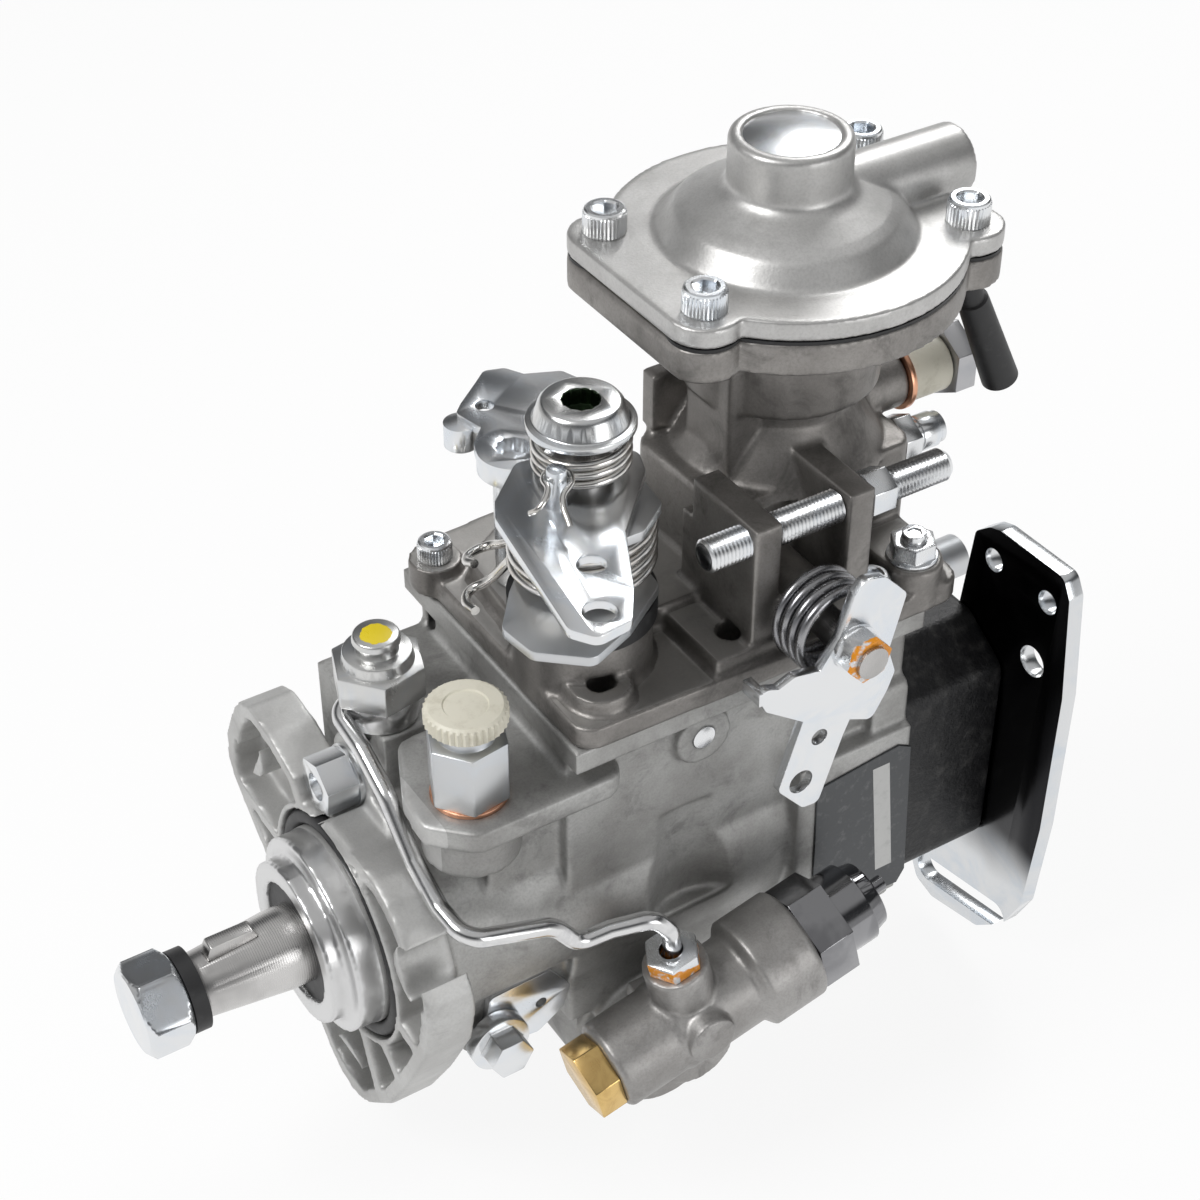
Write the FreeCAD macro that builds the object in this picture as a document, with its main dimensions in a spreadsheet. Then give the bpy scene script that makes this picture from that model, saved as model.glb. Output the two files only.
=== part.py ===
import FreeCAD, Part
import math
import os
import re

import Sketcher
from FreeCAD import Placement, Rotation, Vector

# Diesel injection pump, in millimetres. X runs along the drive shaft towards the rear, the nose points to -X,
# the side with the inlet and the cold-start unit is -Y, and Z is up.
# The origin is the centre of the mounting flange's front face.

document = FreeCAD.newDocument("injection_pump")
sheet = document.addObject("Spreadsheet::Sheet", "Sizes")
rows = []
pieces = []

ROD_ALONG = {
    "z": Rotation(),
    "-z": Rotation(Vector(1, 0, 0), 180),
    "x": Rotation(Vector(0, 1, 0), 90),
    "-x": Rotation(Vector(0, 1, 0), -90),
    "y": Rotation(Vector(1, 0, 0), -90),
    "-y": Rotation(Vector(1, 0, 0), 90),
}
TURNED_ALONG = {
    "x": Rotation(),
    "-x": Rotation(Vector(0, 0, 1), 180),
    "y": Rotation(Vector(0, 0, 1), 90),
    "-y": Rotation(Vector(0, 0, 1), -90),
    "z": Rotation(Vector(0, 1, 0), -90),
    "-z": Rotation(Vector(0, 1, 0), 90),
}
# A plate facing x is drawn as (y, z), one facing -y as (x, z), and one facing z as (x, y).
PLATE_FACING = {
    "z": Rotation(),
    "x": Rotation(Vector(1, 1, 1), 120),
    "-y": Rotation(Vector(1, 0, 0), 90),
}
HEXAGON_CORNER = 1 / math.sqrt(3)


def size(**named):
    """Writes each size to the sheet as a plain number, with its name as the cell's alias."""
    for name, number in named.items():
        rows.append(name)
        sheet.set("A%d" % len(rows), name)
        sheet.set("B%d" % len(rows), str(number))
        sheet.setAlias("B%d" % len(rows), name)
    sheet.recompute()


def value(text):
    """The number that an expression of size names has now."""
    if isinstance(text, (int, float)):
        return float(text)
    return float(sheet.evalExpression(text))


def bind(thing, path, text):
    """Sets a property from an expression of size names, and keeps it bound to their cells."""
    if isinstance(text, str):
        thing.setExpression(path, re.sub(r"[a-z][a-z0-9_]*", lambda word: "Sizes." + word.group(0), text))
    else:
        setattr(thing, path, text)


def place(thing, at, turn=Rotation()):
    """Puts a thing at a place made of three expressions, turned as given."""
    thing.Placement = Placement(Vector(*[value(text) for text in at]), turn)
    for axis, text in zip("xyz", at):
        if isinstance(text, str):
            bind(thing, ".Placement.Base." + axis, text)
    return thing


def rod(diameter, length, at, along="z"):
    """A round rod that starts at a place and runs along an axis."""
    thing = document.addObject("Part::Cylinder", "Rod")
    bind(thing, "Radius", "(%s) / 2" % diameter)
    bind(thing, "Height", "%s" % length)
    return place(thing, at, ROD_ALONG[along])


def ring(outer, inner, length, at, along="z"):
    """A rod with a hole through it."""
    return cut(rod(outer, length, at, along), rod(inner, length, at, along))


def taper(first, last, length, at, along="z"):
    """A round rod whose diameter changes from the first to the last."""
    thing = document.addObject("Part::Cone", "Taper")
    bind(thing, "Radius1", "(%s) / 2" % first)
    bind(thing, "Radius2", "(%s) / 2" % last)
    bind(thing, "Height", "%s" % length)
    return place(thing, at, ROD_ALONG[along])


def hexagon(flats, length, at, along="z", spin=0):
    """A hexagonal rod, measured across its flats and spun about its own axis."""
    thing = document.addObject("Part::Prism", "Hexagon")
    thing.Polygon = 6
    bind(thing, "Circumradius", "(%s) * %.7f" % (flats, HEXAGON_CORNER))
    bind(thing, "Height", "%s" % length)
    return place(thing, at, ROD_ALONG[along] * Rotation(Vector(0, 0, 1), spin))


def block(low, high):
    """A box between its lowest and its highest corner."""
    thing = document.addObject("Part::Box", "Block")
    for side, first, last in zip(("Length", "Width", "Height"), low, high):
        bind(thing, side, "(%s) - (%s)" % (last, first))
    return place(thing, low)


def join(*things, refine=True):
    """One solid made of several that touch. Refining removes the seams between faces in one plane."""
    thing = document.addObject("Part::MultiFuse", "Join")
    thing.Shapes = list(things)
    thing.Refine = refine
    return thing


def cut(base, *tools):
    """A solid with others taken away from it."""
    thing = document.addObject("Part::Cut", "Cut")
    thing.Base = base
    thing.Tool = tools[0] if len(tools) == 1 else join(*tools, refine=False)
    thing.Refine = True
    return thing


def group(*things):
    """Separate solids that share one file."""
    thing = document.addObject("Part::Compound", "Group")
    thing.Links = list(things)
    return thing


def outline(points, body=None):
    """A closed sketch with straight sides. Corners that are expressions are bound to the sheet."""
    if body:
        drawing = body.newObject("Sketcher::SketchObject", "Outline")
        plane = [item for item in body.Origin.OriginFeatures if item.Role == "XY_Plane"][0]
        drawing.AttachmentSupport = (plane, [""])
        drawing.MapMode = "FlatFace"
    else:
        drawing = document.addObject("Sketcher::SketchObject", "Outline")
    corners = [Vector(value(across), value(up), 0) for across, up in points]
    sides = [Part.LineSegment(start, end) for start, end in zip(corners, corners[1:] + corners[:1])]
    drawing.addGeometry(sides, False)
    count = len(points)
    rules = [Sketcher.Constraint("Coincident", side, 2, (side + 1) % count, 1) for side in range(count)]
    bound = []
    for side, pair in enumerate(points):
        for kind, text, axis in zip(("DistanceX", "DistanceY"), pair, (-2, -1)):
            if abs(value(text)) < 1e-6:
                rules.append(Sketcher.Constraint("PointOnObject", side, 1, axis))
                continue
            if isinstance(text, str):
                bound.append((len(rules), text))
            rules.append(Sketcher.Constraint(kind, -1, 1, side, 1, value(text)))
    drawing.addConstraint(rules)
    for number, text in bound:
        bind(drawing, "Constraints[%d]" % number, text)
    return drawing


def grown(points, distance):
    """An outline whose straight sides have all moved outwards by a distance."""
    result = []
    for before, corner, after in zip(points[-1:] + points[:-1], points, points[1:] + points[:1]):
        first = Vector(corner[0] - before[0], corner[1] - before[1], 0).normalize()
        second = Vector(after[0] - corner[0], after[1] - corner[1], 0).normalize()
        outwards = Vector(first.y + second.y, -first.x - second.x, 0)
        shift = outwards * (2 * distance / outwards.Length ** 2)
        result.append((round(corner[0] + shift.x, 3), round(corner[1] + shift.y, 3)))
    return result


def plate(points, thickness, at, facing="z", rounding=None):
    """A flat plate of an outline. With a rounding, the outline grows by it all round, with round corners."""
    face = outline(points)
    if rounding:
        rounded = document.addObject("Part::Offset2D", "Rounded")
        rounded.Source = face
        bind(rounded, "Value", rounding)
        rounded.Join = 0
        face = rounded
    thing = document.addObject("Part::Extrusion", "Plate")
    thing.Base = face
    thing.DirMode = "Custom"
    thing.Dir = Vector(0, 0, 1)
    thing.Solid = True
    bind(thing, "LengthFwd", thickness)
    return place(thing, at, PLATE_FACING[facing])


def turned(profile, at, along="x", turn=None):
    """A body turned on a lathe: its profile is drawn as (along the axis, radius)."""
    body = document.addObject("PartDesign::Body", "Turned")
    drawing = outline(profile, body)
    feature = body.newObject("PartDesign::Revolution", "Revolution")
    feature.Profile = drawing
    feature.ReferenceAxis = (drawing, ["H_Axis"])
    feature.Angle = 360
    body.Tip = feature
    return place(body, at, turn or TURNED_ALONG[along])


def formed(shape, at=(0, 0, 0), turn=Rotation()):
    """A shape made by Part's own functions, as an object of the document."""
    thing = document.addObject("Part::Feature", "Formed")
    thing.Shape = shape
    return place(thing, at, turn)


COIL_STEPS = 14
COIL_SIDES = 6


def coil(radius, wire, pitch, turns, at, along="z"):
    """A coil spring of flat facets, from the start of its first turn, nearly as heavy as round wire."""
    facet = 2 * math.pi / COIL_SIDES
    wire_radius = value(wire) / 2 * math.sqrt(2 * math.pi / (COIL_SIDES * math.sin(facet))) * 0.97
    steps = round(COIL_STEPS * turns)
    points = []
    for step in range(steps + 1):
        angle = 2 * math.pi * step / COIL_STEPS
        outward = Vector(math.cos(angle), math.sin(angle), 0)
        middle = outward * value(radius) + Vector(0, 0, value(pitch) * step / COIL_STEPS)
        for corner in range(COIL_SIDES):
            bend = facet * corner
            points.append(middle + outward * (wire_radius * math.cos(bend)) + Vector(0, 0,
                wire_radius * math.sin(bend)))
    triangles = []
    for step in range(steps):
        low = step * COIL_SIDES
        for corner in range(COIL_SIDES):
            here = low + corner
            beside = low + (corner + 1) % COIL_SIDES
            triangles += [(here, here + COIL_SIDES, beside),
                          (beside, here + COIL_SIDES, beside + COIL_SIDES)]
    last = steps * COIL_SIDES
    for corner in range(1, COIL_SIDES - 1):
        triangles += [(0, corner, corner + 1), (last, last + corner + 1, last + corner)]
    shell = Part.Shape()
    shell.makeShapeFromMesh((points, triangles), 0.001)
    spring = Part.makeSolid(shell)
    if spring.Volume < 0:
        spring.reverse()
    return formed(spring, at, ROD_ALONG[along])


def named(label, thing):
    """Gives a finished sub-part its name."""
    thing.Label = label
    pieces.append(thing)
    return thing


def polar(radius, degrees, centre=("0", "0")):
    """The two expressions of a point at a radius and an angle round a centre."""
    across = math.cos(math.radians(degrees))
    up = math.sin(math.radians(degrees))
    return (
        "(%s) + (%s) * (%.6f)" % (centre[0], radius, across),
        "(%s) + (%s) * (%.6f)" % (centre[1], radius, up),
    )


# Sizes that several sub-parts share.
size(
    running_gap=0.05,
    shaft_diameter=20,
    bore_diameter=62,
    flange_thickness=12.6,
    pilot_diameter=50,
    pilot_length=6.6,
    ring_recess=59.8,
    ring_recess_depth=4.4,
    ring_section=4,
    nose_diameter=41.6,
    nose_length=11.4,
    seal_diameter=31,
    seal_start=10,
    seal_length=8,
    seal_recess=12,
    top_height=64.6,
    joint_gap=0.03,
    block_start=45,
    block_end=142,
    block_half_width=38,
    deck_height=52.5,
    timing_x=67,
    timing_z=-43,
    timing_bore=26,
    timing_housing=38,
    timing_half_length=39,
    spigot_start=118,
    spigot_diameter=56,
    governor_y=8,
    governor_z=45.3,
    governor_shaft_diameter=8,
    gear_start=47,
    gear_width=7,
    gear_module=2,
    drive_teeth=28,
    governor_teeth=18,
    throttle_x=59.8,
    throttle_y=-17.1,
    throttle_shaft_diameter=12,
    idle_x=57.7,
    idle_y=8.2,
    stop_x=104.7,
    stop_z=82,
    stop_shaft_diameter=8,
    boost_x=125.2,
    boost_y=1,
    boost_joint=147,
    diaphragm_thickness=0.8,
    boost_screw_x=35.6,
    boost_screw_y=19.7,
    boost_pin_diameter=8,
    stud_y=-35,
    stud_z=101.5,
    stud_diameter=6,
    screw_diameter=6,
    screw_head=10,
    screw_head_height=6,
    inlet_x=23.4,
    inlet_y=-27.8,
    inlet_deck=54,
    valve_x=20.5,
    valve_y=8.5,
    plug_y=8.5,
    plug_z=37.5,
    plug_face=11.5,
    ring_pin_diameter=6,
    head_end=174,
    bracket_thickness=4.5,
    cover_screw=5,
    cover_screw_head=8.5,
    cover_screw_height=5,
    pivot_x=98,
    pivot_z=24,
    pivot_diameter=6,
    pivot_reach=32,
    idle_pin=6,
)

FLANGE_OUTLINE = [
    (39, -7), (49, 2), (53.5, 7), (55, 11), (54, 18.5), (47.5, 31), (44.5, 34.5), (40, 36.5), (30, 36),
    (18, 32),
    (0, 31), (-16, 31.5), (-23, 31.3), (-28, 29.5), (-33.5, 25.5), (-40.5, 17), (-43.3, 12), (-44, 7),
    (-41.5, -4),
    (-31, -24), (-20, -42), (-10, -52), (-4.5, -56), (0, -57.2), (5, -56.4), (10, -53), (20, -42),
    (29, -26),
]
COVER_SCREWS = [(47.3, 29.2), (96, 34), (142.5, 31), (129, -34.5)]
HEAD_SCREWS = [(29, 24), (-29, 24), (29, -24), (-29, -24)]
BRACKET_SCREWS = [(-27, 9), (-27, -9)]
VALVE_ANGLES = [53, 14, -25, -64]


def slot_cut(radius, degrees, width, half_length, depth):
    """A curved slot through the flange: a thin arc round the shaft's axis, grown to the slot's width."""
    thin = 0.2
    corners = [(value(radius) + thin, offset * half_length) for offset in (-1, -0.3, 0.3, 1)]
    corners += [(value(radius) - thin, offset * half_length) for offset in (1, 0.3, -0.3, -1)]
    points = []
    for distance, offset in corners:
        angle = math.radians(degrees + offset)
        points.append((round(distance * math.cos(angle), 3), round(distance * math.sin(angle), 3)))
    return plate(points, depth, (-1, 0, 0), "x", "(%s) / 2 - %s" % (width, thin))


def pump_housing():
    """The main casting: flange, pilot, pump barrel, governor chamber, timing bore and the inlet platform."""
    size(
        flange_rounding=3, rim_width=4, pocket_depth=8.5, pocket_inner=63, slot_width=9, slot_boss=16,
        near_slot_radius=42.2, far_slot_radius=50, foot_slot_radius=50, slot_depth=15, rib_width=4,
        barrel_diameter=74, deck_start=16, deck_near=-1, deck_far=33, deck_floor=22, wall_half_width=34,
        lower_end=-30, top_flange=6.5, pad_start=108, pad_low=-30, pad_high=27, pad_face=-39.5,
        roller_bore=54.2, roller_bore_start=57, chamber_half_width=30, chamber_floor=14, chamber_end=136,
        shaft_bore_end=15, platform_thickness=6, platform_near=-40, inlet_boss=23, inlet_boss_foot=38,
        front_plug_boss=20, plug_clearance=17, lock_x=23, lock_z=-19.5, lock_boss=16, lock_face=-33,
        valve_bore=10,
        side_boss_x=80.6, side_boss_z=49.9, side_boss=15, side_boss_face=-37, scallop_x=78,
        scallop_radius=18.5,
        scallop_y=-50.5, scallop_low=-4, scallop_high=27, head_flange_half=37, head_flange_start=131,
        head_flange_low=-36, head_flange_high=40, foot_web=11,
    )
    flange = plate(grown(FLANGE_OUTLINE, value("flange_rounding")), "flange_thickness", (0, 0, 0), "x")
    pocket = plate(grown(FLANGE_OUTLINE, value("flange_rounding - rim_width")), "pocket_depth + 1",
                   (-1, 0, 0), "x")
    keep = [rod("pocket_inner", "pocket_depth + 3", (-2, 0, 0), "x")]
    slots = [("near_slot_radius", 157), ("far_slot_radius", 29), ("foot_slot_radius", -91)]
    for radius, degrees in slots:
        across, up = polar(radius, degrees)
        keep.append(rod("slot_boss", "pocket_depth + 3", (-2, across, up), "x"))
    for degrees in (5, 62, 118, 185, 222, 250, -68, -40):
        rib = block((-2, 0, "-rib_width / 2"), ("pocket_depth + 1", 70, "rib_width / 2"))
        rib.Placement = Placement(Vector(-2, 0, 0), Rotation(Vector(1, 0, 0), degrees)) * Placement(
            Vector(0, 0, -value("rib_width") / 2), Rotation())
        keep.append(rib)
    pockets = cut(pocket, *keep)
    outside = join(
        flange,
        rod("pilot_diameter", "pilot_length + 5", ("-pilot_length", 0, 0), "x"),
        rod("nose_diameter", "nose_length + 5", ("-nose_length", 0, 0), "x"),
        rod("barrel_diameter", "block_end - 20", ("flange_thickness - 2", 0, 0), "x"),
        block(("deck_start", "deck_near", "deck_floor"), ("block_start + 2", "deck_far", "deck_height")),
        rod("front_plug_boss", "deck_start - plug_face + 2", ("plug_face", "plug_y", "plug_z"), "x"),
        plate([(15, -22), (14, -30), (20, -36), (34, -36), (52, -36), (52, -9), (21, -9)],
              "platform_thickness",
              (0, 0, "inlet_deck - platform_thickness"), "z", 5),
        rod("inlet_boss", "inlet_deck - inlet_boss_foot", ("inlet_x", "inlet_y", "inlet_boss_foot")),
        block((26, -30, 20), ("block_start + 2", 20, "inlet_deck - 4")),
        block(("block_start", "-wall_half_width", "lower_end"),
              ("block_end", "wall_half_width", "top_height")),
        block(("block_start - 1", "-block_half_width - 2", "top_height - top_flange"),
              ("block_end", "block_half_width + 2", "top_height")),
        block(("pad_start", "pad_face", "pad_low"), ("block_end", 0, "pad_high")),
        plate([(-34, -33), (34, -33), (34, 37), (-34, 37)], "block_end - head_flange_start",
              ("head_flange_start", 0, 0), "x", 3),
        rod("timing_housing", "timing_half_length * 2", ("timing_x", "-timing_half_length", "timing_z"),
            "y"),
        block(("timing_x - timing_housing / 2", "-wall_half_width + 2", "timing_z"),
              ("timing_x + timing_housing / 2", "wall_half_width - 2", "lower_end + 2")),
        rod("lock_boss", "10", ("lock_x", "lock_face + 10", "lock_z"), "-y"),
        rod("side_boss", "8", ("side_boss_x", "side_boss_face + 8", "side_boss_z"), "-y"),
    )
    flange_holes = [slot_cut(radius, degrees, "slot_width", 5, "slot_depth") for radius, degrees in slots]
    holes = [
        rod("seal_diameter", "seal_length + seal_recess - seal_start + 3", ("-seal_recess - 3", 0, 0), "x"),
        rod("shaft_diameter + 2 * running_gap", "40", ("-seal_recess", 0, 0), "x"),
        rod("bore_diameter", "roller_bore_start - shaft_bore_end", ("shaft_bore_end", 0, 0), "x"),
        rod("roller_bore", "spigot_start - roller_bore_start + 1", ("roller_bore_start", 0, 0), "x"),
        rod("spigot_diameter + 2 * running_gap", "block_end - spigot_start + 1", ("spigot_start", 0, 0),
            "x"),
        block(("block_start + 1", "-chamber_half_width", "chamber_floor"),
              ("chamber_end - 10", "chamber_half_width", "top_height + 1")),
        rod("governor_shaft_diameter + 0.04", "12", ("block_start - 9", "governor_y", "governor_z"), "x"),
        rod("timing_bore + 2 * running_gap", "90", ("timing_x", -45, "timing_z"), "y"),
        block(("timing_x - 5", -13, "timing_z"), ("timing_x + 5", 13, -20)),
        rod("valve_bore", "20", ("valve_x", "valve_y", "deck_height - 18")),
        rod("valve_bore", "22", ("inlet_x", "inlet_y", "inlet_deck - 20")),
        rod("8", "9", ("plug_face - 1", "plug_y", "plug_z"), "x"),
        rod("plug_clearance", "plug_face + 1", (-1, "plug_y", "plug_z"), "x"),
        ring("ring_recess", "pilot_diameter + 0.7", "ring_recess_depth + 1", (-1, 0, 0), "x"),
        block((17, -45, -27), (44.9, "lock_face", -4)),
        rod("8", "12", ("lock_x", "lock_face - 1", "lock_z"), "y"),
        rod("6", "6", ("side_boss_x", "side_boss_face - 1", "side_boss_z"), "y"),
        rod("scallop_radius * 2", "scallop_high - scallop_low", ("scallop_x", "scallop_y", "scallop_low")),
        rod("pivot_diameter + 2 * running_gap", "pivot_reach * 2 + 0.4",
            ("pivot_x", "-pivot_reach - 0.2", "pivot_z"), "y"),
    ]
    for x, y in COVER_SCREWS:
        holes.append(rod("cover_screw", "14", (x, y, "top_height - 13")))
    for y, z in HEAD_SCREWS:
        holes.append(rod("screw_diameter", "12", ("block_end - 11", y, z), "x"))
    slotted = cut(cut(outside, pockets), *flange_holes)
    half = len(holes) // 2
    return named("pump_housing", cut(cut(slotted, *holes[:half]), *holes[half:]))


def drive_shaft():
    """The shaft, from the nut's thread over the taper and the seal to the claws that turn the cam plate."""
    size(
        thread_diameter=14, thread_start=-51, taper_start=-37, taper_end=-16, taper_small=16,
        hub_diameter=28, hub_start=54.4, hub_end=58, neck_diameter=22, neck_end=76.5, claw_width=8,
        claw_height=18, claw_end=84, key_width=4, key_diameter=13, key_x=-27, key_lift=8.4,
    )
    body = turned(
        [("thread_start", 0), ("thread_start", "thread_diameter / 2 - 1"),
         ("thread_start + 1", "thread_diameter / 2"),
         ("taper_start", "thread_diameter / 2"), ("taper_start", "taper_small / 2"),
         ("taper_end", "shaft_diameter / 2"), ("hub_start", "shaft_diameter / 2"),
         ("hub_start", "hub_diameter / 2"),
         ("hub_end", "hub_diameter / 2"), ("hub_end", "neck_diameter / 2"),
         ("neck_end", "neck_diameter / 2"),
         ("neck_end", 0)],
        (0, 0, 0),
    )
    claw = block(("neck_end - 1", "-claw_width / 2", "-claw_height / 2"),
                 ("claw_end", "claw_width / 2", "claw_height / 2"))
    groove = rod("key_diameter + 0.04", "key_width + 0.02", ("key_x", "-key_width / 2 - 0.01", "key_lift"),
                 "y")
    named("drive_shaft", cut(join(body, claw), groove))


def shaft_key():
    """The half-round key on top of the taper."""
    disc = rod("key_diameter", "key_width", ("key_x", "-key_width / 2", "key_lift"), "y")
    size(key_top=12)
    trim = block(("key_x - 10", -5, "key_top"), ("key_x + 10", 5, "key_top + 10"))
    named("shaft_key", cut(disc, trim))


def shaft_nut():
    """The hexagon nut and its spring washer on the shaft's thread."""
    size(nut_flats=21, nut_start=-52.8, nut_length=11.5, washer_outer=20.6, washer_gap=0.2)
    nut = cut(
        hexagon("nut_flats", "nut_length", ("nut_start", 0, 0), "x", 18),
        rod("thread_diameter + 0.04", "20", ("nut_start - 2", 0, 0), "x"),
    )
    rounded = document.addObject("Part::MultiCommon", "Chamfered")
    rounded.Shapes = [nut, turned(
        [("0", 0), ("0", "nut_flats / 2 - 0.6"), ("1.2", "nut_flats * 0.58"),
         ("nut_length - 1.2", "nut_flats * 0.58"),
         ("nut_length", "nut_flats / 2 - 0.6"), ("nut_length", 0)], ("nut_start", 0, 0))]
    named("shaft_nut", rounded)
    washer = ring("washer_outer", "thread_diameter + 0.4",
                  "taper_start - nut_start - nut_length - 2 * washer_gap",
                  ("nut_start + nut_length + washer_gap", 0, 0), "x")
    size(washer_slit=1.5)
    slit = block((-60, 0, "-washer_slit / 2"), (-30, 20, "washer_slit / 2"))
    named("shaft_spring_washer", cut(washer, slit))


def shaft_seals():
    """The lip seal in the nose and the O-ring in the recess round the foot of the pilot."""
    size(seal_wall=2, seal_lip=1.2, ring_gap=0.45)
    seal = turned(
        [("0", "shaft_diameter / 2 + running_gap"), ("0", "seal_diameter / 2 - running_gap"),
         ("seal_length", "seal_diameter / 2 - running_gap"),
         ("seal_length", "seal_diameter / 2 - seal_wall"),
         ("seal_wall", "seal_diameter / 2 - seal_wall"),
         ("seal_wall", "shaft_diameter / 2 + seal_lip + 0.6"),
         ("seal_length - 2", "shaft_diameter / 2 + seal_lip"),
         ("seal_length - 2", "shaft_diameter / 2 + running_gap")],
        ("-seal_start", 0, 0),
    )
    named("shaft_seal", seal)
    torus = document.addObject("Part::Torus", "Torus")
    bind(torus, "Radius1", "pilot_diameter / 2 + ring_section / 2 + ring_gap")
    bind(torus, "Radius2", "ring_section / 2")
    named("pilot_o_ring", place(torus, ("ring_recess_depth / 2", 0, 0), ROD_ALONG["x"]))


def vane_pump():
    """The transfer pump behind the front bearing: rotor, four vanes and the eccentric ring."""
    size(
        pump_start=16, pump_length=12, rotor_diameter=42, pump_ring_bore=48, pump_ring_shift=2,
        vane_thickness=2.4,
        vane_tip=21.8, vane_root=13.5, vane_gap=0.05,
    )
    rotor = ring("rotor_diameter", "shaft_diameter + 0.04", "pump_length", ("pump_start", 0, 0), "x")
    slots, vanes = [], []
    for degrees in (0, 90, 180, 270):
        turn = Rotation(Vector(1, 0, 0), degrees)
        slot = block(("pump_start - 1", "vane_root - 0.4", "-vane_thickness / 2 - vane_gap"),
                     ("pump_start + pump_length + 1", "rotor_diameter", "vane_thickness / 2 + vane_gap"))
        vane = block(("pump_start + 0.1", "vane_root", "-vane_thickness / 2"),
                     ("pump_start + pump_length - 0.1", "vane_tip", "vane_thickness / 2"))
        for thing in (slot, vane):
            start = thing.Placement.Base
            for axis in "xyz":
                thing.setExpression(".Placement.Base." + axis, None)
            thing.Placement = Placement(Vector(), turn) * Placement(start, Rotation())
        slots.append(slot)
        vanes.append(vane)
    named("vane_rotor", cut(rotor, *slots))
    named("pump_vanes", group(*vanes))
    ring_body = rod("bore_diameter - 2 * running_gap", "pump_length", ("pump_start", 0, 0), "x")
    hole = rod("pump_ring_bore", "pump_length + 2", ("pump_start - 1", 0, "pump_ring_shift"), "x")
    named("vane_pump_ring", cut(ring_body, hole))


def gear(teeth, spin):
    """A gear body: a disc with one padded tooth, repeated round the axis."""
    body = document.addObject("PartDesign::Body", "Gear")
    plane = [item for item in body.Origin.OriginFeatures if item.Role == "XY_Plane"][0]
    disc = body.newObject("Sketcher::SketchObject", "Disc")
    disc.AttachmentSupport = (plane, [""])
    disc.MapMode = "FlatFace"
    root = "%s * gear_module / 2 - gear_module * 1.25" % teeth
    disc.addGeometry(Part.Circle(Vector(), Vector(0, 0, 1), value(root)), False)
    disc.addConstraint(Sketcher.Constraint("Coincident", 0, 3, -1, 1))
    disc.addConstraint(Sketcher.Constraint("Radius", 0, value(root)))
    bind(disc, "Constraints[1]", root)
    pad = body.newObject("PartDesign::Pad", "Pad")
    pad.Profile = disc
    bind(pad, "Length", "gear_width")
    pitch, tip = "%s * gear_module / 2" % teeth, "%s * gear_module / 2 + gear_module * 0.9" % teeth
    tooth = outline(
        [(root + " - 0.5", "-gear_module * 0.98"), (pitch, "-gear_module * 0.68"),
         (tip, "-gear_module * 0.3"),
         (tip, "gear_module * 0.3"), (pitch, "gear_module * 0.68"),
         (root + " - 0.5", "gear_module * 0.98")], body)
    tooth_pad = body.newObject("PartDesign::Pad", "Tooth")
    tooth_pad.Profile = tooth
    bind(tooth_pad, "Length", "gear_width")
    body.Tip = tooth_pad
    document.recompute()
    pattern = body.newObject("PartDesign::PolarPattern", "Teeth")
    pattern.Originals = [tooth_pad]
    pattern.Axis = ([item for item in body.Origin.OriginFeatures if item.Role == "Z_Axis"][0], [""])
    pattern.Angle = 360
    bind(pattern, "Occurrences", teeth)
    body.Tip = pattern
    return body, ROD_ALONG["x"] * Rotation(Vector(0, 0, 1), spin)


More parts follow.
